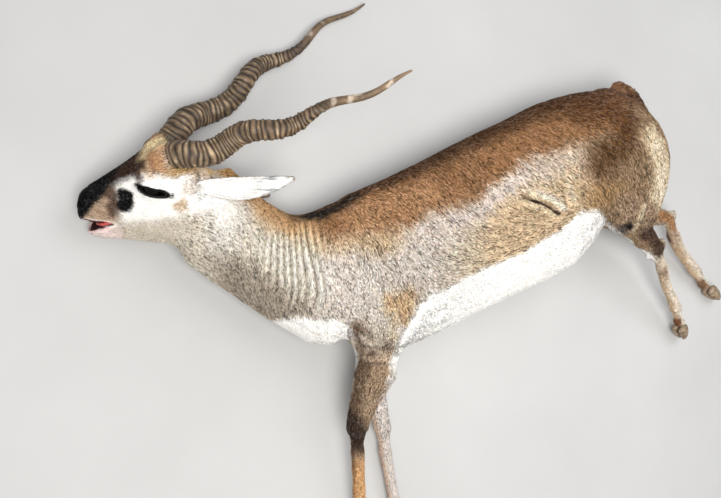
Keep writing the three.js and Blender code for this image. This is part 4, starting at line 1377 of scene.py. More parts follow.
def lay_tufts(
    tufts: Tufts,
    points: np.ndarray,
    normals: np.ndarray,
    flow: np.ndarray,
    colours: np.ndarray,
    maps: np.ndarray,
    finish: bpy.types.Material,
    rng: np.random.Generator,
) -> bpy.types.Object:
    """Makes one mesh of tufts from their roots.

    Args:
        tufts: Their size and stance.
        points: Their roots in the design frame.
        normals: The skin's normals there.
        flow: The way they lie.
        colours: Their colours.
        maps: Their places on the skin's bake map.
        finish: The hair's material.
        rng: Source of the random draws.

    Returns:
        The piece.
    """
    count = len(points)
    flow = flow + grain(points, 16.0, 20)[:, None] * 0.12 * np.cross(normals, flow)
    flow = unit(flow - normals * np.sum(flow * normals, 1, keepdims=True))
    side = np.cross(normals, flow)
    turn = rng.normal(0.0, tufts.spread, (count, 1))
    flow, side = flow * np.cos(turn) + side * np.sin(turn), side * np.cos(turn) - flow * np.sin(turn)
    hollow = sum(np.maximum(fold.shade(points) + fold.shade(points + flow * tufts.length * 0.6), 0.0) for fold in FOLDS)
    hollow = np.minimum(hollow, 1.0)[:, None]
    length = tufts.length * rng.uniform(0.7, 1.25, (count, 1)) * (1.0 - 0.65 * hollow)
    width = tufts.width * rng.uniform(0.75, 1.25, (count, 1)) / 2
    pale = ease(0.6, 0.85, colours.min(1, keepdims=True))
    rise = tufts.rise * rng.uniform(0.6, 1.3, (count, 1)) * (1.0 - 0.75 * pale) * (1.0 - 0.7 * hollow)
    root = points - normals * 0.9
    middle = points + flow * length * 0.4 + normals * rise * 0.8
    tip = points + flow * length + normals * rise
    shape = np.stack(
        [root, middle + side * width, middle - side * width, middle + normals * (0.35 + 0.1 * tufts.rise) * (1 - 0.6 * pale),
         tip], 1
    )
    streak = np.mean([grain(points + flow * step, 3.4, 22) for step in (-14.0, -7.0, 0.0, 7.0, 14.0)], 0)[:, None]
    tone = rng.normal(0.0, tufts.tone, (count, 1)) + grain(points, 7.0, 21)[:, None] * tufts.tone * 0.6
    tone += streak * tufts.tone * 3.0
    tone -= (rng.random((count, 1)) < 0.2) * tufts.tone * 1.9
    tone += (rng.random((count, 1)) < 0.2) * tufts.tone * 1.4
    tone *= 1.0 - 0.9 * pale
    tint = colours * np.exp(np.minimum(tone, 0.0)) * (1 + rng.normal(0, 0.03, (count, 3)))
    frosted = np.minimum(colours * 1.5 + 0.1, 0.9) * [1.0, 0.97, 0.94]
    tint = np.clip(tint + (frosted - colours) * (1.0 - np.exp(-1.1 * np.maximum(tone, 0.0))), 0.0, 1.0)
    ends = np.stack([tint * (0.7 + 0.25 * pale), tint * 0.97, tint * 0.97, tint, np.clip(tint * 1.12, 0, 1)], 1)
    shape[:, :, 2] = np.maximum(shape[:, :, 2], 0.3)
    mesh = bpy.data.meshes.new(tufts.name)
    corners = (Coat.faces[None] + np.arange(count)[:, None, None] * 5).reshape(-1, 3)
    mesh.vertices.add(count * 5)
    mesh.vertices.foreach_set("co", to_row(shape).astype(np.float32).ravel())
    mesh.loops.add(corners.size)
    mesh.loops.foreach_set("vertex_index", corners.astype(np.int32).ravel())
    mesh.polygons.add(len(corners))
    mesh.polygons.foreach_set("loop_start", np.arange(0, corners.size, 3, dtype=np.int32))
    mesh.update(calc_edges=True)
    mesh.polygons.foreach_set("use_smooth", np.ones(len(corners), bool))
    mesh.uv_layers.new(name=BAKE_MAP)
    places = maps[:, None, None] + Coat.patch[Coat.faces][None]
    mesh.uv_layers[BAKE_MAP].uv.foreach_set("vector", np.clip(places, 0, 1).astype(np.float32).ravel())
    set_colours(mesh, ends.reshape(-1, 3))
    mesh.materials.append(finish)
    return settle(new_object(tufts.name, mesh), tufts.slot)


def swept(name: str, centres: np.ndarray, normals: np.ndarray, radii: np.ndarray, sides: int, closed: bool) -> bpy.types.Mesh:
    """A tube drawn along a line by extruding a ring.

    Args:
        name: The mesh's name.
        centres: The line in the design frame.
        normals: One direction across the line at each point.
        radii: Two half sizes at each point, along the normal and across it.
        sides: Corners of the ring.
        closed: Whether the line runs back into its start.

    Returns:
        The mesh, closed, with its faces outward.
    """
    ahead = np.roll(centres, -1, 0) - np.roll(centres, 1, 0)
    if not closed:
        ahead[0], ahead[-1] = centres[1] - centres[0], centres[-1] - centres[-2]
    ahead = unit(ahead)
    across = unit(np.cross(ahead, normals))
    up = np.cross(across, ahead)
    angle = np.arange(sides) * 2 * math.pi / sides
    rings = (
        centres[:, None]
        + up[:, None] * np.cos(angle)[None, :, None] * radii[:, None, :1]
        + across[:, None] * np.sin(angle)[None, :, None] * radii[:, None, 1:]
    )
    rings = to_row(rings)
    bm = bmesh.new()
    ring = bmesh.ops.create_circle(bm, segments=sides, radius=0.001)["verts"]
    for vert, at in zip(ring, rings[0]):
        vert.co = at
    first = [edge for edge in bm.edges]
    edges = first
    for places in rings[1:]:
        made = bmesh.ops.extrude_edge_only(bm, edges=edges)["geom"]
        fresh = {e for e in made if isinstance(e, bmesh.types.BMEdge)}
        step = {}
        for edge in (e for e in made if isinstance(e, bmesh.types.BMEdge)):
            for vert in edge.verts:
                step[vert] = None
        previous = ring
        ring = [next(e.other_vert(vert) for e in vert.link_edges if e.other_vert(vert) in step) for vert in previous]
        for vert, at in zip(ring, places):
            vert.co = at
        edges = list(fresh)
    if closed:
        bmesh.ops.bridge_loops(bm, edges=first + edges)
    else:
        bmesh.ops.holes_fill(bm, edges=[e for e in bm.edges if e.is_boundary], sides=0)
    bmesh.ops.recalc_face_normals(bm, faces=bm.faces)
    mesh = bpy.data.meshes.new(name)
    bm.to_mesh(mesh)
    bm.free()
    return mesh


@dataclass
class Horn:
    """One ringed, spiral horn.

    Attributes:
        name: left or right.
        root: Middle of its foot, in the design frame.
        tip: Its point.
        bow: How far its middle bends aside.
        turns: Turns of its spiral.
        start: Where the spiral starts.
        swing: Radius of the spiral.
    """

    name: str
    root: tuple[float, float, float]
    tip: tuple[float, float, float]
    bow: tuple[float, float, float]
    turns: float
    start: float
    swing: float
    radii: tuple[float, ...] = (20.5, 20.5, 19.5, 18, 16, 14.5, 12, 8, 6.4, 5.4, 4.6, 1.6)
    ringed: float = 0.72
    rings: int = 42
    height: float = 2.5
    sides: int = 28
    rows: int = 8
    # Share of brightness kept; below one paints shade on the whole horn
    shade: float = 1.0

    def line(self, t: np.ndarray) -> np.ndarray:
        """The horn's middle line at shares t of its length."""
        root, tip, bow = (np.array(v, float) for v in (self.root, self.tip, self.bow))
        run = tip - root
        along = unit(run)
        side = unit(np.cross([0.0, 0.0, 1.0], along))
        up = np.cross(along, side)
        phase = self.start + 2 * math.pi * self.turns * t
        reach = self.swing * (1 - 0.55 * t) * np.sin(math.pi / 2 * np.minimum(1, t / 0.2))
        return (
            root + t[:, None] * run + np.sin(math.pi * t)[:, None] * bow
            + (reach * np.cos(phase))[:, None] * side + (reach * np.sin(phase))[:, None] * up
        )

    def inward(self) -> np.ndarray:
        """The way from the horn's foot into the skull."""
        return unit(HEAD.place(-14, -10, 0) - np.array(self.root))

    def pedicle(self) -> bpy.types.Mesh:
        """The skin's own mound round the horn's foot, as a closed tube."""
        centres = np.concatenate([[np.array(self.root) + self.inward() * 16.0], self.line(np.array([0.0, 0.016, 0.034]))])
        radii = np.array([24.0, 23.6, 22.8, 21.0])
        return swept("pedicle", centres, np.repeat([[0.0, 0.0, 1.0]], 4, 0), np.stack([radii, radii], 1), 24, False)

    def build(self, finish: bpy.types.Material) -> bpy.types.Object:
        """Draws the horn ring by ring, swells its rings and paints their crests and grooves: painted shade in the
        grooves, and pale crests that are partly worn and partly painted highlight.

        Args:
            finish: The horn's material.

        Returns:
            The horn.
        """
        ringed = np.linspace(0.0, self.ringed, self.rings * self.rows, endpoint=False)
        t = np.concatenate([[0.0, 0.0], ringed, np.linspace(self.ringed, 1.0, 46)])
        centres = self.line(t)
        centres[0] += self.inward() * 22.0 - unit(centres[4] - centres[2]) * 4.0
        centres[1] += self.inward() * 9.0 - unit(centres[4] - centres[2]) * 3.0
        radius = np.interp(t, np.linspace(0, 1, len(self.radii)), self.radii)
        mesh = swept(self.name, centres, np.repeat([[0.0, 0.0, 1.0]], len(t), 0), np.stack([radius, radius], 1),
                     self.sides, False)
        crest, at, share = self.ridged(mesh, centres, t)
        # painted shade: near black in the grooves between the rings, the horn's own brown on the crests
        colour = blend(np.repeat(rgb(22, 16, 12)[None], len(at), 0), rgb(120, 101, 80), crest ** 1.7)
        # pale crests: partly wear, partly painted highlight
        colour = blend(colour, rgb(172, 152, 124), ease(0.75, 1.0, crest) * ease(0.0, 0.5, grain(at, 7.0, 36)) * 0.8)
        plain = ease(self.ringed - 0.12, self.ringed + 0.03, share)
        colour = blend(colour, rgb(124, 104, 82), plain)
        colour = blend(colour, rgb(206, 194, 180), plain * ease(0.25, 0.6, grain(at, 12.0, 37)) * 0.7)
        colour = colour * np.exp(0.35 * grain(at, 18.0, 31) + 0.4 * grain(at, 5.0, 32))[:, None] * self.shade
        set_colours(mesh, np.clip(colour, 0.005, 1.0))
        mesh.polygons.foreach_set("use_smooth", np.ones(len(mesh.polygons), bool))
        mesh.materials.append(finish)
        return settle(new_object(f"{self.name}_horn", mesh), Slot.HORN, self.name)

    def ridged(
        self, mesh: bpy.types.Mesh, centres: np.ndarray, t: np.ndarray
    ) -> tuple[np.ndarray, np.ndarray, np.ndarray]:
        """Raises uneven rings on the horn: their spacing and height change along it and round it.

        Args:
            mesh: The plain horn.
            centres: Its middle line.
            t: Share of the horn's length at each ring of the mesh.

        Returns:
            How high on a ring each vertex lies, the vertices in the design frame, and their shares of the length.
        """
        at, _ = Skin.vertices(mesh)
        away = unit(at - np.repeat(centres, self.sides, 0))
        ahead = np.repeat(unit(np.gradient(centres, axis=0)), self.sides, 0)
        across = unit(np.cross(ahead, [0.0, 0.0, 1.0]))
        angle = np.arctan2(np.sum(away * across, 1), np.sum(away * np.cross(across, ahead), 1))
        share = np.repeat(t, self.sides)
        count = share / self.ringed * self.rings
        count = count + 0.2 * np.sin(count * 0.83 + self.start) + 0.14 * np.sin(count * 2.1)
        count = count + 0.3 * np.sin(angle + count * 0.4) + 0.12 * np.sin(2 * angle - count * 0.9) + 0.2 * grain(at, 12.0, 35)
        crest = np.sin(np.pi * (count % 1.0)) ** 0.6
        live = ease(self.ringed + 0.03, self.ringed - 0.16, share)
        strength = 0.8 + 0.3 * np.sin(np.floor(count) * 2.4) + 0.25 * grain(at, 14.0, 38)
        move = self.height * live * (crest * strength - 0.5) * ease(-0.01, 0.03, share)
        move += (0.4 + 0.5 * live) * 0.6 * grain(at, 6.0, 33)
        mesh.vertices.foreach_set("co", to_row(at + away * move[:, None]).astype(np.float32).ravel())
        mesh.update()
        return crest * live, at, share


HORNS = (
    Horn("horn_left", (58, 187, 125), (406, 313, 262), (0, -9, -3), 3.06, 6.06, 8.5),
    # The right horn lies low by the floor and is darkened with painted shade.
    Horn("horn_right", (53, 208, 89), (410, 512, 12), (0, 12, -16), -2.94, 2.39, 11.0, shade=0.8),
)


@dataclass
class Ear:
    """One leaf-shaped ear, hollow on the side it faces.

    Attributes:
        name: The CAD node's name.
        root: Middle of its foot.
        tip: Its point.
        bow: How far its middle bends aside.
        facing: The way its hollow looks.
    """

    name: str
    root: tuple[float, float, float]
    tip: tuple[float, float, float]
    bow: tuple[float, float, float]
    facing: tuple[float, float, float]
    wide: float = 15.5
    thick: float = 9.0
    wall: float = 2.2
    outline: tuple[float, ...] = (0.5, 0.78, 1.0, 1.0, 0.86, 0.58, 0.05)
    rows: int = 44
    columns: int = 20

    def leaf(self, along: np.ndarray, across: np.ndarray) -> np.ndarray:
        """Places on the ear's hollow side.

        Args:
            along: Shares of its length.
            across: From -1 at one edge to 1 at the other.

        Returns:
            Points in the design frame.
        """
        root, tip, bow = (np.array(v, float) for v in (self.root, self.tip, self.bow))
        run = unit(tip - root)
        facing = np.array(self.facing, float)
        facing = unit(facing - run * (facing @ run))
        side = np.cross(run, facing)
        width = np.interp(along, np.linspace(0, 1, len(self.outline)), self.outline)
        angle = across * math.radians(82.0)
        width = width * ease(-0.16, 0.06, along)
        middle = root + along[:, None] * (tip - root) + np.sin(math.pi * np.maximum(along, 0))[:, None] * bow
        ripple = 0.5 * np.sin(along * 21 + across * 2.0) * np.abs(across)
        return (
            middle
            + side * (self.wide * width * np.sin(angle) / math.sin(math.radians(82.0)))[:, None]
            - facing * (self.thick * width * np.cos(angle) * 0.9 - self.thick * 0.35 + ripple)[:, None]
        )

    def build(self, finish: bpy.types.Material) -> tuple[bpy.types.Object, Surface]:
        """Bends a grid into the leaf, gives it a wall and paints it.

        Args:
            finish: The coat's material.

        Returns:
            The ear and its surface.
        """
        bm = bmesh.new()
        grid = bmesh.ops.create_grid(bm, x_segments=self.rows, y_segments=self.columns, size=1.0)["verts"]
        flat = np.array([vert.co for vert in grid])
        along, across = flat[:, 0] * 0.55 + 0.45, flat[:, 1]
        for vert, place in zip(grid, to_row(self.leaf(along, across))):
            vert.co = place
        bmesh.ops.remove_doubles(bm, verts=bm.verts, dist=1e-5)
        bmesh.ops.recalc_face_normals(bm, faces=bm.faces)
        bm.normal_update()
        facing = Vector(self.facing)
        if sum(face.normal.dot(facing) for face in bm.faces) < 0:
            bmesh.ops.reverse_faces(bm, faces=bm.faces)
        bmesh.ops.solidify(bm, geom=bm.faces[:], thickness=self.wall / 1000.0)
        bmesh.ops.smooth_vert(bm, verts=bm.verts, factor=0.3, use_axis_x=True, use_axis_y=True, use_axis_z=True)
        mesh = bpy.data.meshes.new(self.name)
        bm.to_mesh(mesh)
        bm.free()
        piece = new_object(f"{self.name}_leaf", mesh)
        unwrap(piece)
        points, normals = Skin.vertices(mesh)
        set_colours(mesh, self.paint(points, normals))
        mesh.polygons.foreach_set("use_smooth", np.ones(len(mesh.polygons), bool))
        mesh.materials.append(finish)
        surface = read_surface(mesh, np.zeros(len(points), int))
        return settle(piece, Slot.FACE, self.name), surface

    def grow(self, leaf: Surface, finish: bpy.types.Material, seed: int) -> bpy.types.Object:
        """Short hair along the ear, inside and out.

        Args:
            leaf: The ear's surface.
            finish: The coat's material.
            seed: Seed of the random draws.

        Returns:
            The piece.
        """
        rng = np.random.default_rng(seed)
        tufts = Tufts(f"coat_{self.name}", Slot.FACE, (), 5200, 6.5, 1.1, 0.7, 0.12, 0.14)
        corners = leaf.points[leaf.corners]
        area = np.linalg.norm(np.cross(corners[:, 1] - corners[:, 0], corners[:, 2] - corners[:, 0]), axis=1)
        face = rng.choice(len(area), tufts.count, p=area / area.sum())
        share = rng.dirichlet((1.0, 1.0, 1.0), tufts.count)[:, :, None]
        points = (corners[face] * share).sum(1)
        normals = unit((leaf.normals[leaf.corners[face]] * share).sum(1))
        maps = (leaf.maps[face] * share).sum(1)
        flow = np.repeat([unit(np.array(self.tip, float) - np.array(self.root, float))], tufts.count, 0)
        return lay_tufts(tufts, points, normals, flow, self.paint(points, normals), maps, finish, rng)

    def paint(self, points: np.ndarray, normals: np.ndarray) -> np.ndarray:
        """White inside with grey streaks along it, tan and grey outside."""
        root, tip = np.array(self.root, float), np.array(self.tip, float)
        run = tip - root
        share = (points - root) @ run / (run @ run)
        inner = ease(-0.1, 0.35, normals @ unit(np.array(self.facing, float)))
        streak = grain(np.stack([share * 40.0, points[:, 1], points[:, 2]], 1) * np.array([1, 3.2, 3.2]), 9.0, 41)
        colour = np.repeat(rgb(160, 140, 116)[None], len(points), 0)
        inside = blend(
            np.repeat(rgb(246, 244, 240)[None], len(points), 0), rgb(150, 156, 166),
            0.75 * ease(0.15, 0.6, streak) * ease(0.4, 0.7, share) * ease(1.0, 0.9, share),
        )
        colour = colour * (1 - inner[:, None]) + inside * inner[:, None]
        edge = bell(normals @ unit(np.array(self.facing, float)) - 0.1, 0.22)
        return blend(colour, rgb(120, 112, 108), edge * 0.6 * ease(0.2, 0.4, share))


@dataclass
class Eye:
    """An eye ball deep in its socket, with dark, wet rims round the lids' opening.

    Attributes:
        side: 1 for the left eye, -1 for the right.
        radius: The ball's radius.
    """

    side: int
    radius: float = 14.5
    long: float = 20.0
    tall: float = 5.8
    tilt: float = math.radians(15.0)

    @property
    def name(self) -> str:
        """The CAD node's name."""
        return "eye_left" if self.side > 0 else "eye_right"

    def build(self, wet: bpy.types.Material, rim: bpy.types.Material, skin: bpy.types.Object) -> None:
        """Makes the ball and the rim.

        Args:
            wet: The ball's material.
            rim: The rim's material.
            skin: The skin, which the rim lies on.
        """
        bm = bmesh.new()
        bmesh.ops.create_uvsphere(bm, u_segments=40, v_segments=24, radius=self.radius / 1000.0)
        centre = HEAD.place(-3, 6, 35 * self.side)
        turn = Matrix((HEAD.forward, HEAD.up, HEAD.left)).transposed().to_4x4()
        bmesh.ops.transform(bm, matrix=Matrix.Translation(to_row(centre)) @ turn, verts=bm.verts)
        bmesh.ops.recalc_face_normals(bm, faces=bm.faces)
        mesh = bpy.data.meshes.new(self.name)
        bm.to_mesh(mesh)
        bm.free()
        mesh.polygons.foreach_set("use_smooth", np.ones(len(mesh.polygons), bool))
        mesh.materials.append(wet)
        settle(new_object(f"{self.name}_ball", mesh), Slot.EYE, self.name)
        self.rims(rim, skin)

    def rims(self, rim: bpy.types.Material, skin: bpy.types.Object) -> None:
        """Draws the lids' rim round the opening, on the skin."""
        angle = np.linspace(0, 2 * math.pi, 72, endpoint=False)
        long = self.long * 1.02 * np.sign(np.cos(angle)) * np.abs(np.cos(angle)) ** 0.9
        tall = self.tall * 1.1 * np.sin(angle)
        f = -3 + long * math.cos(self.tilt) - tall * math.sin(self.tilt)
        u = 5 + long * math.sin(self.tilt) + tall * math.cos(self.tilt)
        tree = BVHTree.FromObject(skin, bpy.context.evaluated_depsgraph_get())
        outward = HEAD.left * self.side
        centres = []
        for forward, up in zip(-3 + (f + 3) * 1.22, 5 + (u - 5) * 1.45):
            start = to_row(HEAD.place(forward, up, 80 * self.side))
            hit = tree.ray_cast(Vector(start), Vector(-outward))[0]
            centres.append(to_design(np.array(hit)))
        lateral = np.abs((np.array(centres) - HEAD.origin) @ HEAD.left)
        ball = 35 + np.sqrt(np.maximum(self.radius**2 - (f + 3) ** 2 - (u - 6) ** 2, 0.0))
        height = np.maximum(lateral - 1.4, np.minimum(ball + 0.2, lateral + 0.8))
        for _ in range(6):
            height = (np.roll(height, 1) + height * 2 + np.roll(height, -1)) / 4
        line = np.array([HEAD.place(a, b, c * self.side) for a, b, c in zip(f, u, height)])
        thick = np.where(np.sin(angle) > 0, 2.6, 2.0)
        mesh = swept(f"{self.name}_rim", line, np.repeat([outward], 72, 0), np.stack([thick * 0.9, thick], 1), 10, True)
        mesh.polygons.foreach_set("use_smooth", np.ones(len(mesh.polygons), bool))
        mesh.materials.append(rim)
        settle(new_object(f"{self.name}_rim", mesh), Slot.FACE)


@dataclass(frozen=True)
class Mouth:
    """The tongue on the mouth's floor, and the bare lips round its opening.

    Attributes:
        tongue: Forward, up and left of the tongue's line, and its half thickness and half width.
        front: Forward and left of the lower lip where it runs round the front.
    """

    tongue: tuple[tuple[float, ...], ...] = (
        (88, -68, 8, 0.8, 1.5), (84, -66, 13, 2.8, 5.0), (78, -64, 17, 3.8, 6.5), (72, -61.5, 20, 3.8, 6.0),
        (66, -60.5, 21.0, 3.2, 4.6), (60, -60.5, 18, 1.6, 3.0),
    )
    front: tuple[tuple[float, float], ...] = ((98.5, 18.0), (101.5, 12.5), (103.5, 6.5), (104.2, 0.0))

    def build(self, tongue: bpy.types.Material, lip: bpy.types.Material, skin: bpy.types.Object) -> None:
        """Draws the tongue and both lips.

        Args:
            tongue: The tongue's material.
            lip: The lips' material.
            skin: The skin that the lips lie on.
        """
        rows = np.array(self.tongue)
        t = np.linspace(0, 1, 36)
        line = np.stack([np.interp(t, np.linspace(0, 1, len(rows)), rows[:, i]) for i in range(5)], 1)
        line[1:-1, :3] = (line[:-2, :3] + line[1:-1, :3] * 2 + line[2:, :3]) / 4
        centres = np.array([HEAD.place(*row[:3]) for row in line])
        mesh = swept("tongue", centres, np.repeat([HEAD.up], len(t), 0), line[:, 3:], 16, False)
        self.finish(mesh, tongue, "tongue_body", Slot.TONGUE, "tongue")
        tree = BVHTree.FromObject(skin, bpy.context.evaluated_depsgraph_get())
        forward = np.linspace(60, 95, 22)
        lower = [(f, mouth_floor(f) - 2.4, self.reach(tree, f, mouth_floor(f) - 3.6)) for f in forward]
        lower += [(f, float(mouth_floor(f)) - 2.6, side) for f, side in self.front]
        self.lip(lower, 1.7, lip, "lower_lip")
        upper = [(f, mouth_top(f) + 1.0, self.reach(tree, f, mouth_top(f) + 2.6)) for f in np.linspace(60, 100, 24)]
        upper += [(105.0, -52.5, 17.5), (109.5, -52.0, 12.0), (112.0, -51.5, 6.0), (112.8, -51.5, 0.0)]
        self.lip(upper, 1.2, lip, "upper_lip")

    @staticmethod
    def reach(tree: BVHTree, forward: float, up: float) -> float:
        """How far left the skin lies at a place of the muzzle."""
        start = to_row(HEAD.place(forward, up, 60.0))
        hit = tree.ray_cast(Vector(start), Vector(-HEAD.left))[0]
        return float((to_design(np.array(hit)) - HEAD.origin) @ HEAD.left) - 0.8

    def lip(self, half: list[tuple[float, float, float]], thick: float, finish: bpy.types.Material, name: str) -> None:
        """One lip, from the left corner round the front to the right one."""
        half = np.array(half, float)
        whole = np.concatenate([half, (half * [1, 1, -1])[-2::-1]])
        for _ in range(3):
            whole[1:-1] = (whole[:-2] + whole[1:-1] * 2 + whole[2:]) / 4
        centres = np.array([HEAD.place(*row) for row in whole])
        taper = np.clip(np.minimum(np.arange(len(whole)), np.arange(len(whole))[::-1]) / 5.0, 0.15, 1.0)[:, None]
        mesh = swept(name, centres, np.repeat([HEAD.up], len(whole), 0), np.repeat(taper * thick, 2, 1), 10, False)
        self.finish(mesh, finish, name, Slot.FACE)

    @staticmethod
    def finish(mesh: bpy.types.Mesh, finish: bpy.types.Material, name: str, slot: Slot, *nodes: str) -> None:
        """Smooths, dresses and settles a piece of the mouth."""
        mesh.polygons.foreach_set("use_smooth", np.ones(len(mesh.polygons), bool))
        mesh.materials.append(finish)
        settle(new_object(name, mesh), slot, *nodes)


@dataclass(frozen=True)
class SmoothedNodes:
    """CAD nodes kept in shape, but rounded: the hooves."""

    name: str
    nodes: tuple[str, ...]
    slot: Slot
    cuts: int = 2

    def build(self, finish: bpy.types.Material) -> bpy.types.Object:
        """Joins merged copies of the nodes and subdivides them.

        Args:
            finish: Their material.

        Returns:
            The piece.
        """
        whole = bmesh.new()
        for node in self.nodes:
            bm = merged_node(node)
            copied = [whole.verts.new(vert.co) for vert in bm.verts]
            for face in bm.faces:
                whole.faces.new([copied[vert.index] for vert in face.verts])
            bm.free()
        bmesh.ops.join_triangles(
            whole, faces=whole.faces, angle_face_threshold=0.7, angle_shape_threshold=0.9, cmp_seam=False
        )
        mesh = bpy.data.meshes.new(self.name)
        whole.to_mesh(mesh)
        whole.free()
        mesh.polygons.foreach_set("use_smooth", np.ones(len(mesh.polygons), bool))
        mesh.materials.append(finish)
        piece = new_object(self.name, mesh)
        rounder = piece.modifiers.new("rounder", "SUBSURF")
        rounder.levels = rounder.render_levels = self.cuts
        return settle(piece, self.slot, *self.nodes)


@dataclass(frozen=True)
class Studio:
    """Pale floor, soft lights and the photograph's camera."""

    lens: float = 36.95
    height: float = 1260.0
    yaw: float = math.radians(18.0)
    pitch: float = math.radians(3.0)

    def build(self) -> None:
        """Makes the floor, the world, the lights and the camera."""
        bm = bmesh.new()
        bmesh.ops.create_grid(bm, x_segments=1, y_segments=1, size=6.0)
        mesh = bpy.data.meshes.new("floor")
        bm.to_mesh(mesh)
        bm.free()
        finish = Finish("pale_floor")
        tone = finish.ramp(finish.noise(3.0, 4.0, 0.5), (0.3, (0.47, 0.465, 0.455)), (0.7, (0.52, 0.515, 0.505)))
        finish.join(tone, finish.shader.inputs["Base Color"])
        finish.set(Roughness=0.85)
        mesh.materials.append(finish.material)
        new_object("floor", mesh)
        world = bpy.data.worlds.new("soft_room")
        world.use_nodes = True
        world.node_tree.nodes["Background"].inputs["Color"].default_value = (0.92, 0.95, 1.0, 1.0)
        world.node_tree.nodes["Background"].inputs["Strength"].default_value = 0.4
        bpy.context.scene.world = world
        bpy.context.scene.view_settings.view_transform = "Standard"
        self.lamp("key", (-0.45, -0.45, 2.3), 1.2, 58.0, (1.0, 0.98, 0.95))
        self.lamp("fill", (0.8, 0.9, 2.0), 1.6, 23.0, (0.97, 0.98, 1.0))
        self.camera()

    @staticmethod
    def lamp(name: str, place: tuple[float, float, float], size: float, power: float, colour: tuple[float, ...]) -> None:
        """An area light that looks at the animal."""
        light = bpy.data.lights.new(name, "AREA")
        light.size = size
        light.energy = power
        light.color = colour
        holder = bpy.data.objects.new(name, light)
        holder.location = place
        holder.rotation_mode = "QUATERNION"
        holder.rotation_quaternion = (Vector((0, 0, 0.1)) - Vector(place)).to_track_quat("-Z", "Y")
        bpy.context.scene.collection.objects.link(holder)

    def camera(self) -> None:
        """The camera above the head, turned towards the rump as the photograph shows it."""
        look = unit(np.array([
            math.sin(self.yaw), math.sin(self.pitch) * math.cos(self.yaw), -math.cos(self.yaw) * math.cos(self.pitch)
        ]))
        up = np.array([0.0, 1.0, 0.0])
        up = unit(up - look * (up @ look))
        right = np.cross(look, up)
        data = bpy.data.cameras.new("camera")
        data.lens = self.lens
        data.sensor_width = 36.0
        data.clip_end = 50.0
        holder = bpy.data.objects.new("camera", data)
        turn = Matrix((right, up, -look)).transposed().to_4x4()
        holder.matrix_world = Matrix.Translation(to_row(np.array([0.0, 0.0, self.height]))) @ turn
        bpy.context.scene.collection.objects.link(holder)
        bpy.context.scene.camera = holder


def limb_nodes(*endings: str) -> tuple[str, ...]:
    """Names of the legs' nodes with these endings."""
    return tuple(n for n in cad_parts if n.endswith(endings) and "hoof" not in n)


def coat_plan() -> list[Tufts]:
    """The pieces of the coat, with their places and sizes."""
    fore, hind = limb_nodes("shoulder"), limb_nodes("thigh")
    return [
        Tufts("coat_front", Slot.BODY, ("torso",), 33000, 10.0, 1.6, 1.8, keep=lambda p: p[:, 0] < 560),
        Tufts("coat_rear", Slot.BODY, ("torso",), 33000, 10.0, 1.6, 1.8, keep=lambda p: p[:, 0] >= 560),
        Tufts("coat_neck", Slot.NECK, ("neck",), 33000, 7.5, 1.3, 1.4, 0.16, 0.56),
        Tufts("coat_shoulders", Slot.SHOULDER, fore, 20000, 8.5, 1.5, 1.7),
        Tufts("coat_haunches", Slot.HAUNCH, hind, 33000, 8.5, 1.5, 1.6),
        Tufts("coat_face", Slot.FACE, ("head",), 32000, 5.2, 1.1, 0.8, 0.2, 0.26, keep=face_keep),
        Tufts("coat_forearms", Slot.FOREARM, limb_nodes("forearm", "gaskin"), 15000, 6.5, 1.4, 1.2),
        Tufts("coat_shanks", Slot.SHANK, limb_nodes("cannon", "pastern"), 17000, 5.0, 1.1, 0.7, 0.18, 0.28),
        Tufts("coat_tail", Slot.TAIL, ("tail",), 7000, 12.0, 1.6, 1.6, 0.2),
        Tufts("coat_dock", Slot.TAIL, ("torso", "hindleg_left_thigh", "hindleg_right_thigh"), 2200, 12.0, 1.7, 1.6,
              keep=lambda p: np.linalg.norm(p - [866, 352, 104], axis=1) < 42),
        Tufts("coat_forehead", Slot.FACE, ("head",), 3600, 11.0, 1.5, 1.4, 0.25, 0.24, keep=forehead_keep),
        Tufts("coat_horn_roots", Slot.FACE, ("head",), 4200, 10.0, 1.3, 1.6, 0.2, 0.3, keep=horn_root_keep),
        Tufts("coat_ear_roots", Slot.FACE, ("head", "neck"), 2400, 11.0, 1.4, 1.6, 0.22, 0.15, keep=ear_root_keep),
    ]


def forehead_keep(points: np.ndarray) -> np.ndarray:
    """Where the long hair between and before the horns grows."""
    f, u, side = HEAD.read(points)
    return ((np.abs(side) < 24) & (u > 34) & (f < 24) & (f > -46)).astype(float)


def horn_root_keep(points: np.ndarray) -> np.ndarray:
    """Where the hair that covers the foot of each horn grows."""
    near = [np.linalg.norm(points - np.array(horn.root), axis=1) for horn in HORNS]
    return (np.minimum(*near) < 34).astype(float)


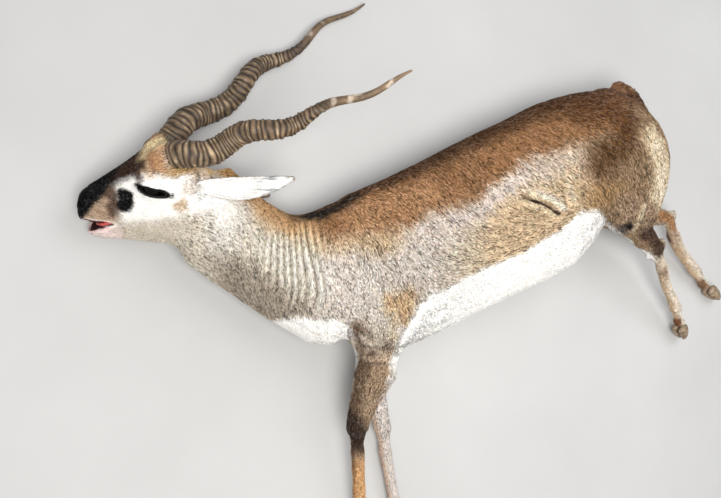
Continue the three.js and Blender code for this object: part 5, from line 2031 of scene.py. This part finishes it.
def ear_root_keep(points: np.ndarray) -> np.ndarray:
    """Where the long hair round the foot of each ear grows."""
    near = [np.linalg.norm(points - root, axis=1) for root in ((110, 150, 122), (100, 172, 60))]
    return (np.minimum(*near) < 22).astype(float)


def face_keep(points: np.ndarray) -> np.ndarray:
    """Where the face has hair: not in the eyes, the nostrils or the mouth."""
    f, u, side = HEAD.read(points)
    side = np.abs(side)
    bare = (slit_share(f, u, 26.0, 12.0) < 1.0) & (side > 20)
    bare |= (f > 56) & (u < mouth_top(f) + 3.5) & (u > mouth_floor(f) - 3.5) & (f < 108)
    bare |= (f > 98) & (side < 16) & (u > -46)
    return (~bare).astype(float)


def main() -> None:
    """Builds the animal piece by piece."""
    logging.basicConfig(level=logging.INFO, format="%(message)s")
    Studio().build()
    markings = Markings()
    hair = Hair("coat_hair").build()
    hide = Hair("skin_under_coat", 0.75, 0.015, 0.08, 0.0006).build()
    skin = Skin(markings)
    body, surface = skin.build(hide)
    coat = Coat(surface, skin.nodes, markings, Lie())
    for number, tufts in enumerate(coat_plan()):
        coat.grow(tufts, hair, 100 + number)
    horn = HornFinish().build()
    for one in HORNS:
        one.build(horn)
    ears = (
        Ear("ear_left", (116, 151, 122), (258, 170, 116), (-2, -9.5, 5), (-0.1, -0.25, 0.96)),
        Ear("ear_right", (106, 172, 60), (240, 154, 14), (0, 0, -8), (-0.3, 0.4, -0.87)),
    )
    for number, ear in enumerate(ears):
        _, leaf = ear.build(hair)
        ear.grow(leaf, hair, 200 + number)
    wet = EyeFinish().build()
    rim = WetFlesh("dark_rims", (0.002, 0.002, 0.002), (0.008, 0.006, 0.005), 0.6, 0.15).build()
    for side in (1, -1):
        Eye(side).build(wet, rim, body)
    tongue = WetFlesh("wet_tongue", rgb(150, 48, 46), rgb(205, 96, 90), 0.25).build()
    lip = WetFlesh("bare_lips", rgb(206, 168, 162), rgb(236, 208, 204), 0.45).build()
    Mouth().build(tongue, lip, body)
    hooves = tuple(sorted(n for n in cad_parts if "hoof" in n))
    SmoothedNodes("hooves", hooves, Slot.HOOF).build(HoofFinish().build())
    log.info("view transform %s", bpy.context.scene.view_settings.view_transform)


if __name__ == "__main__":
    main()
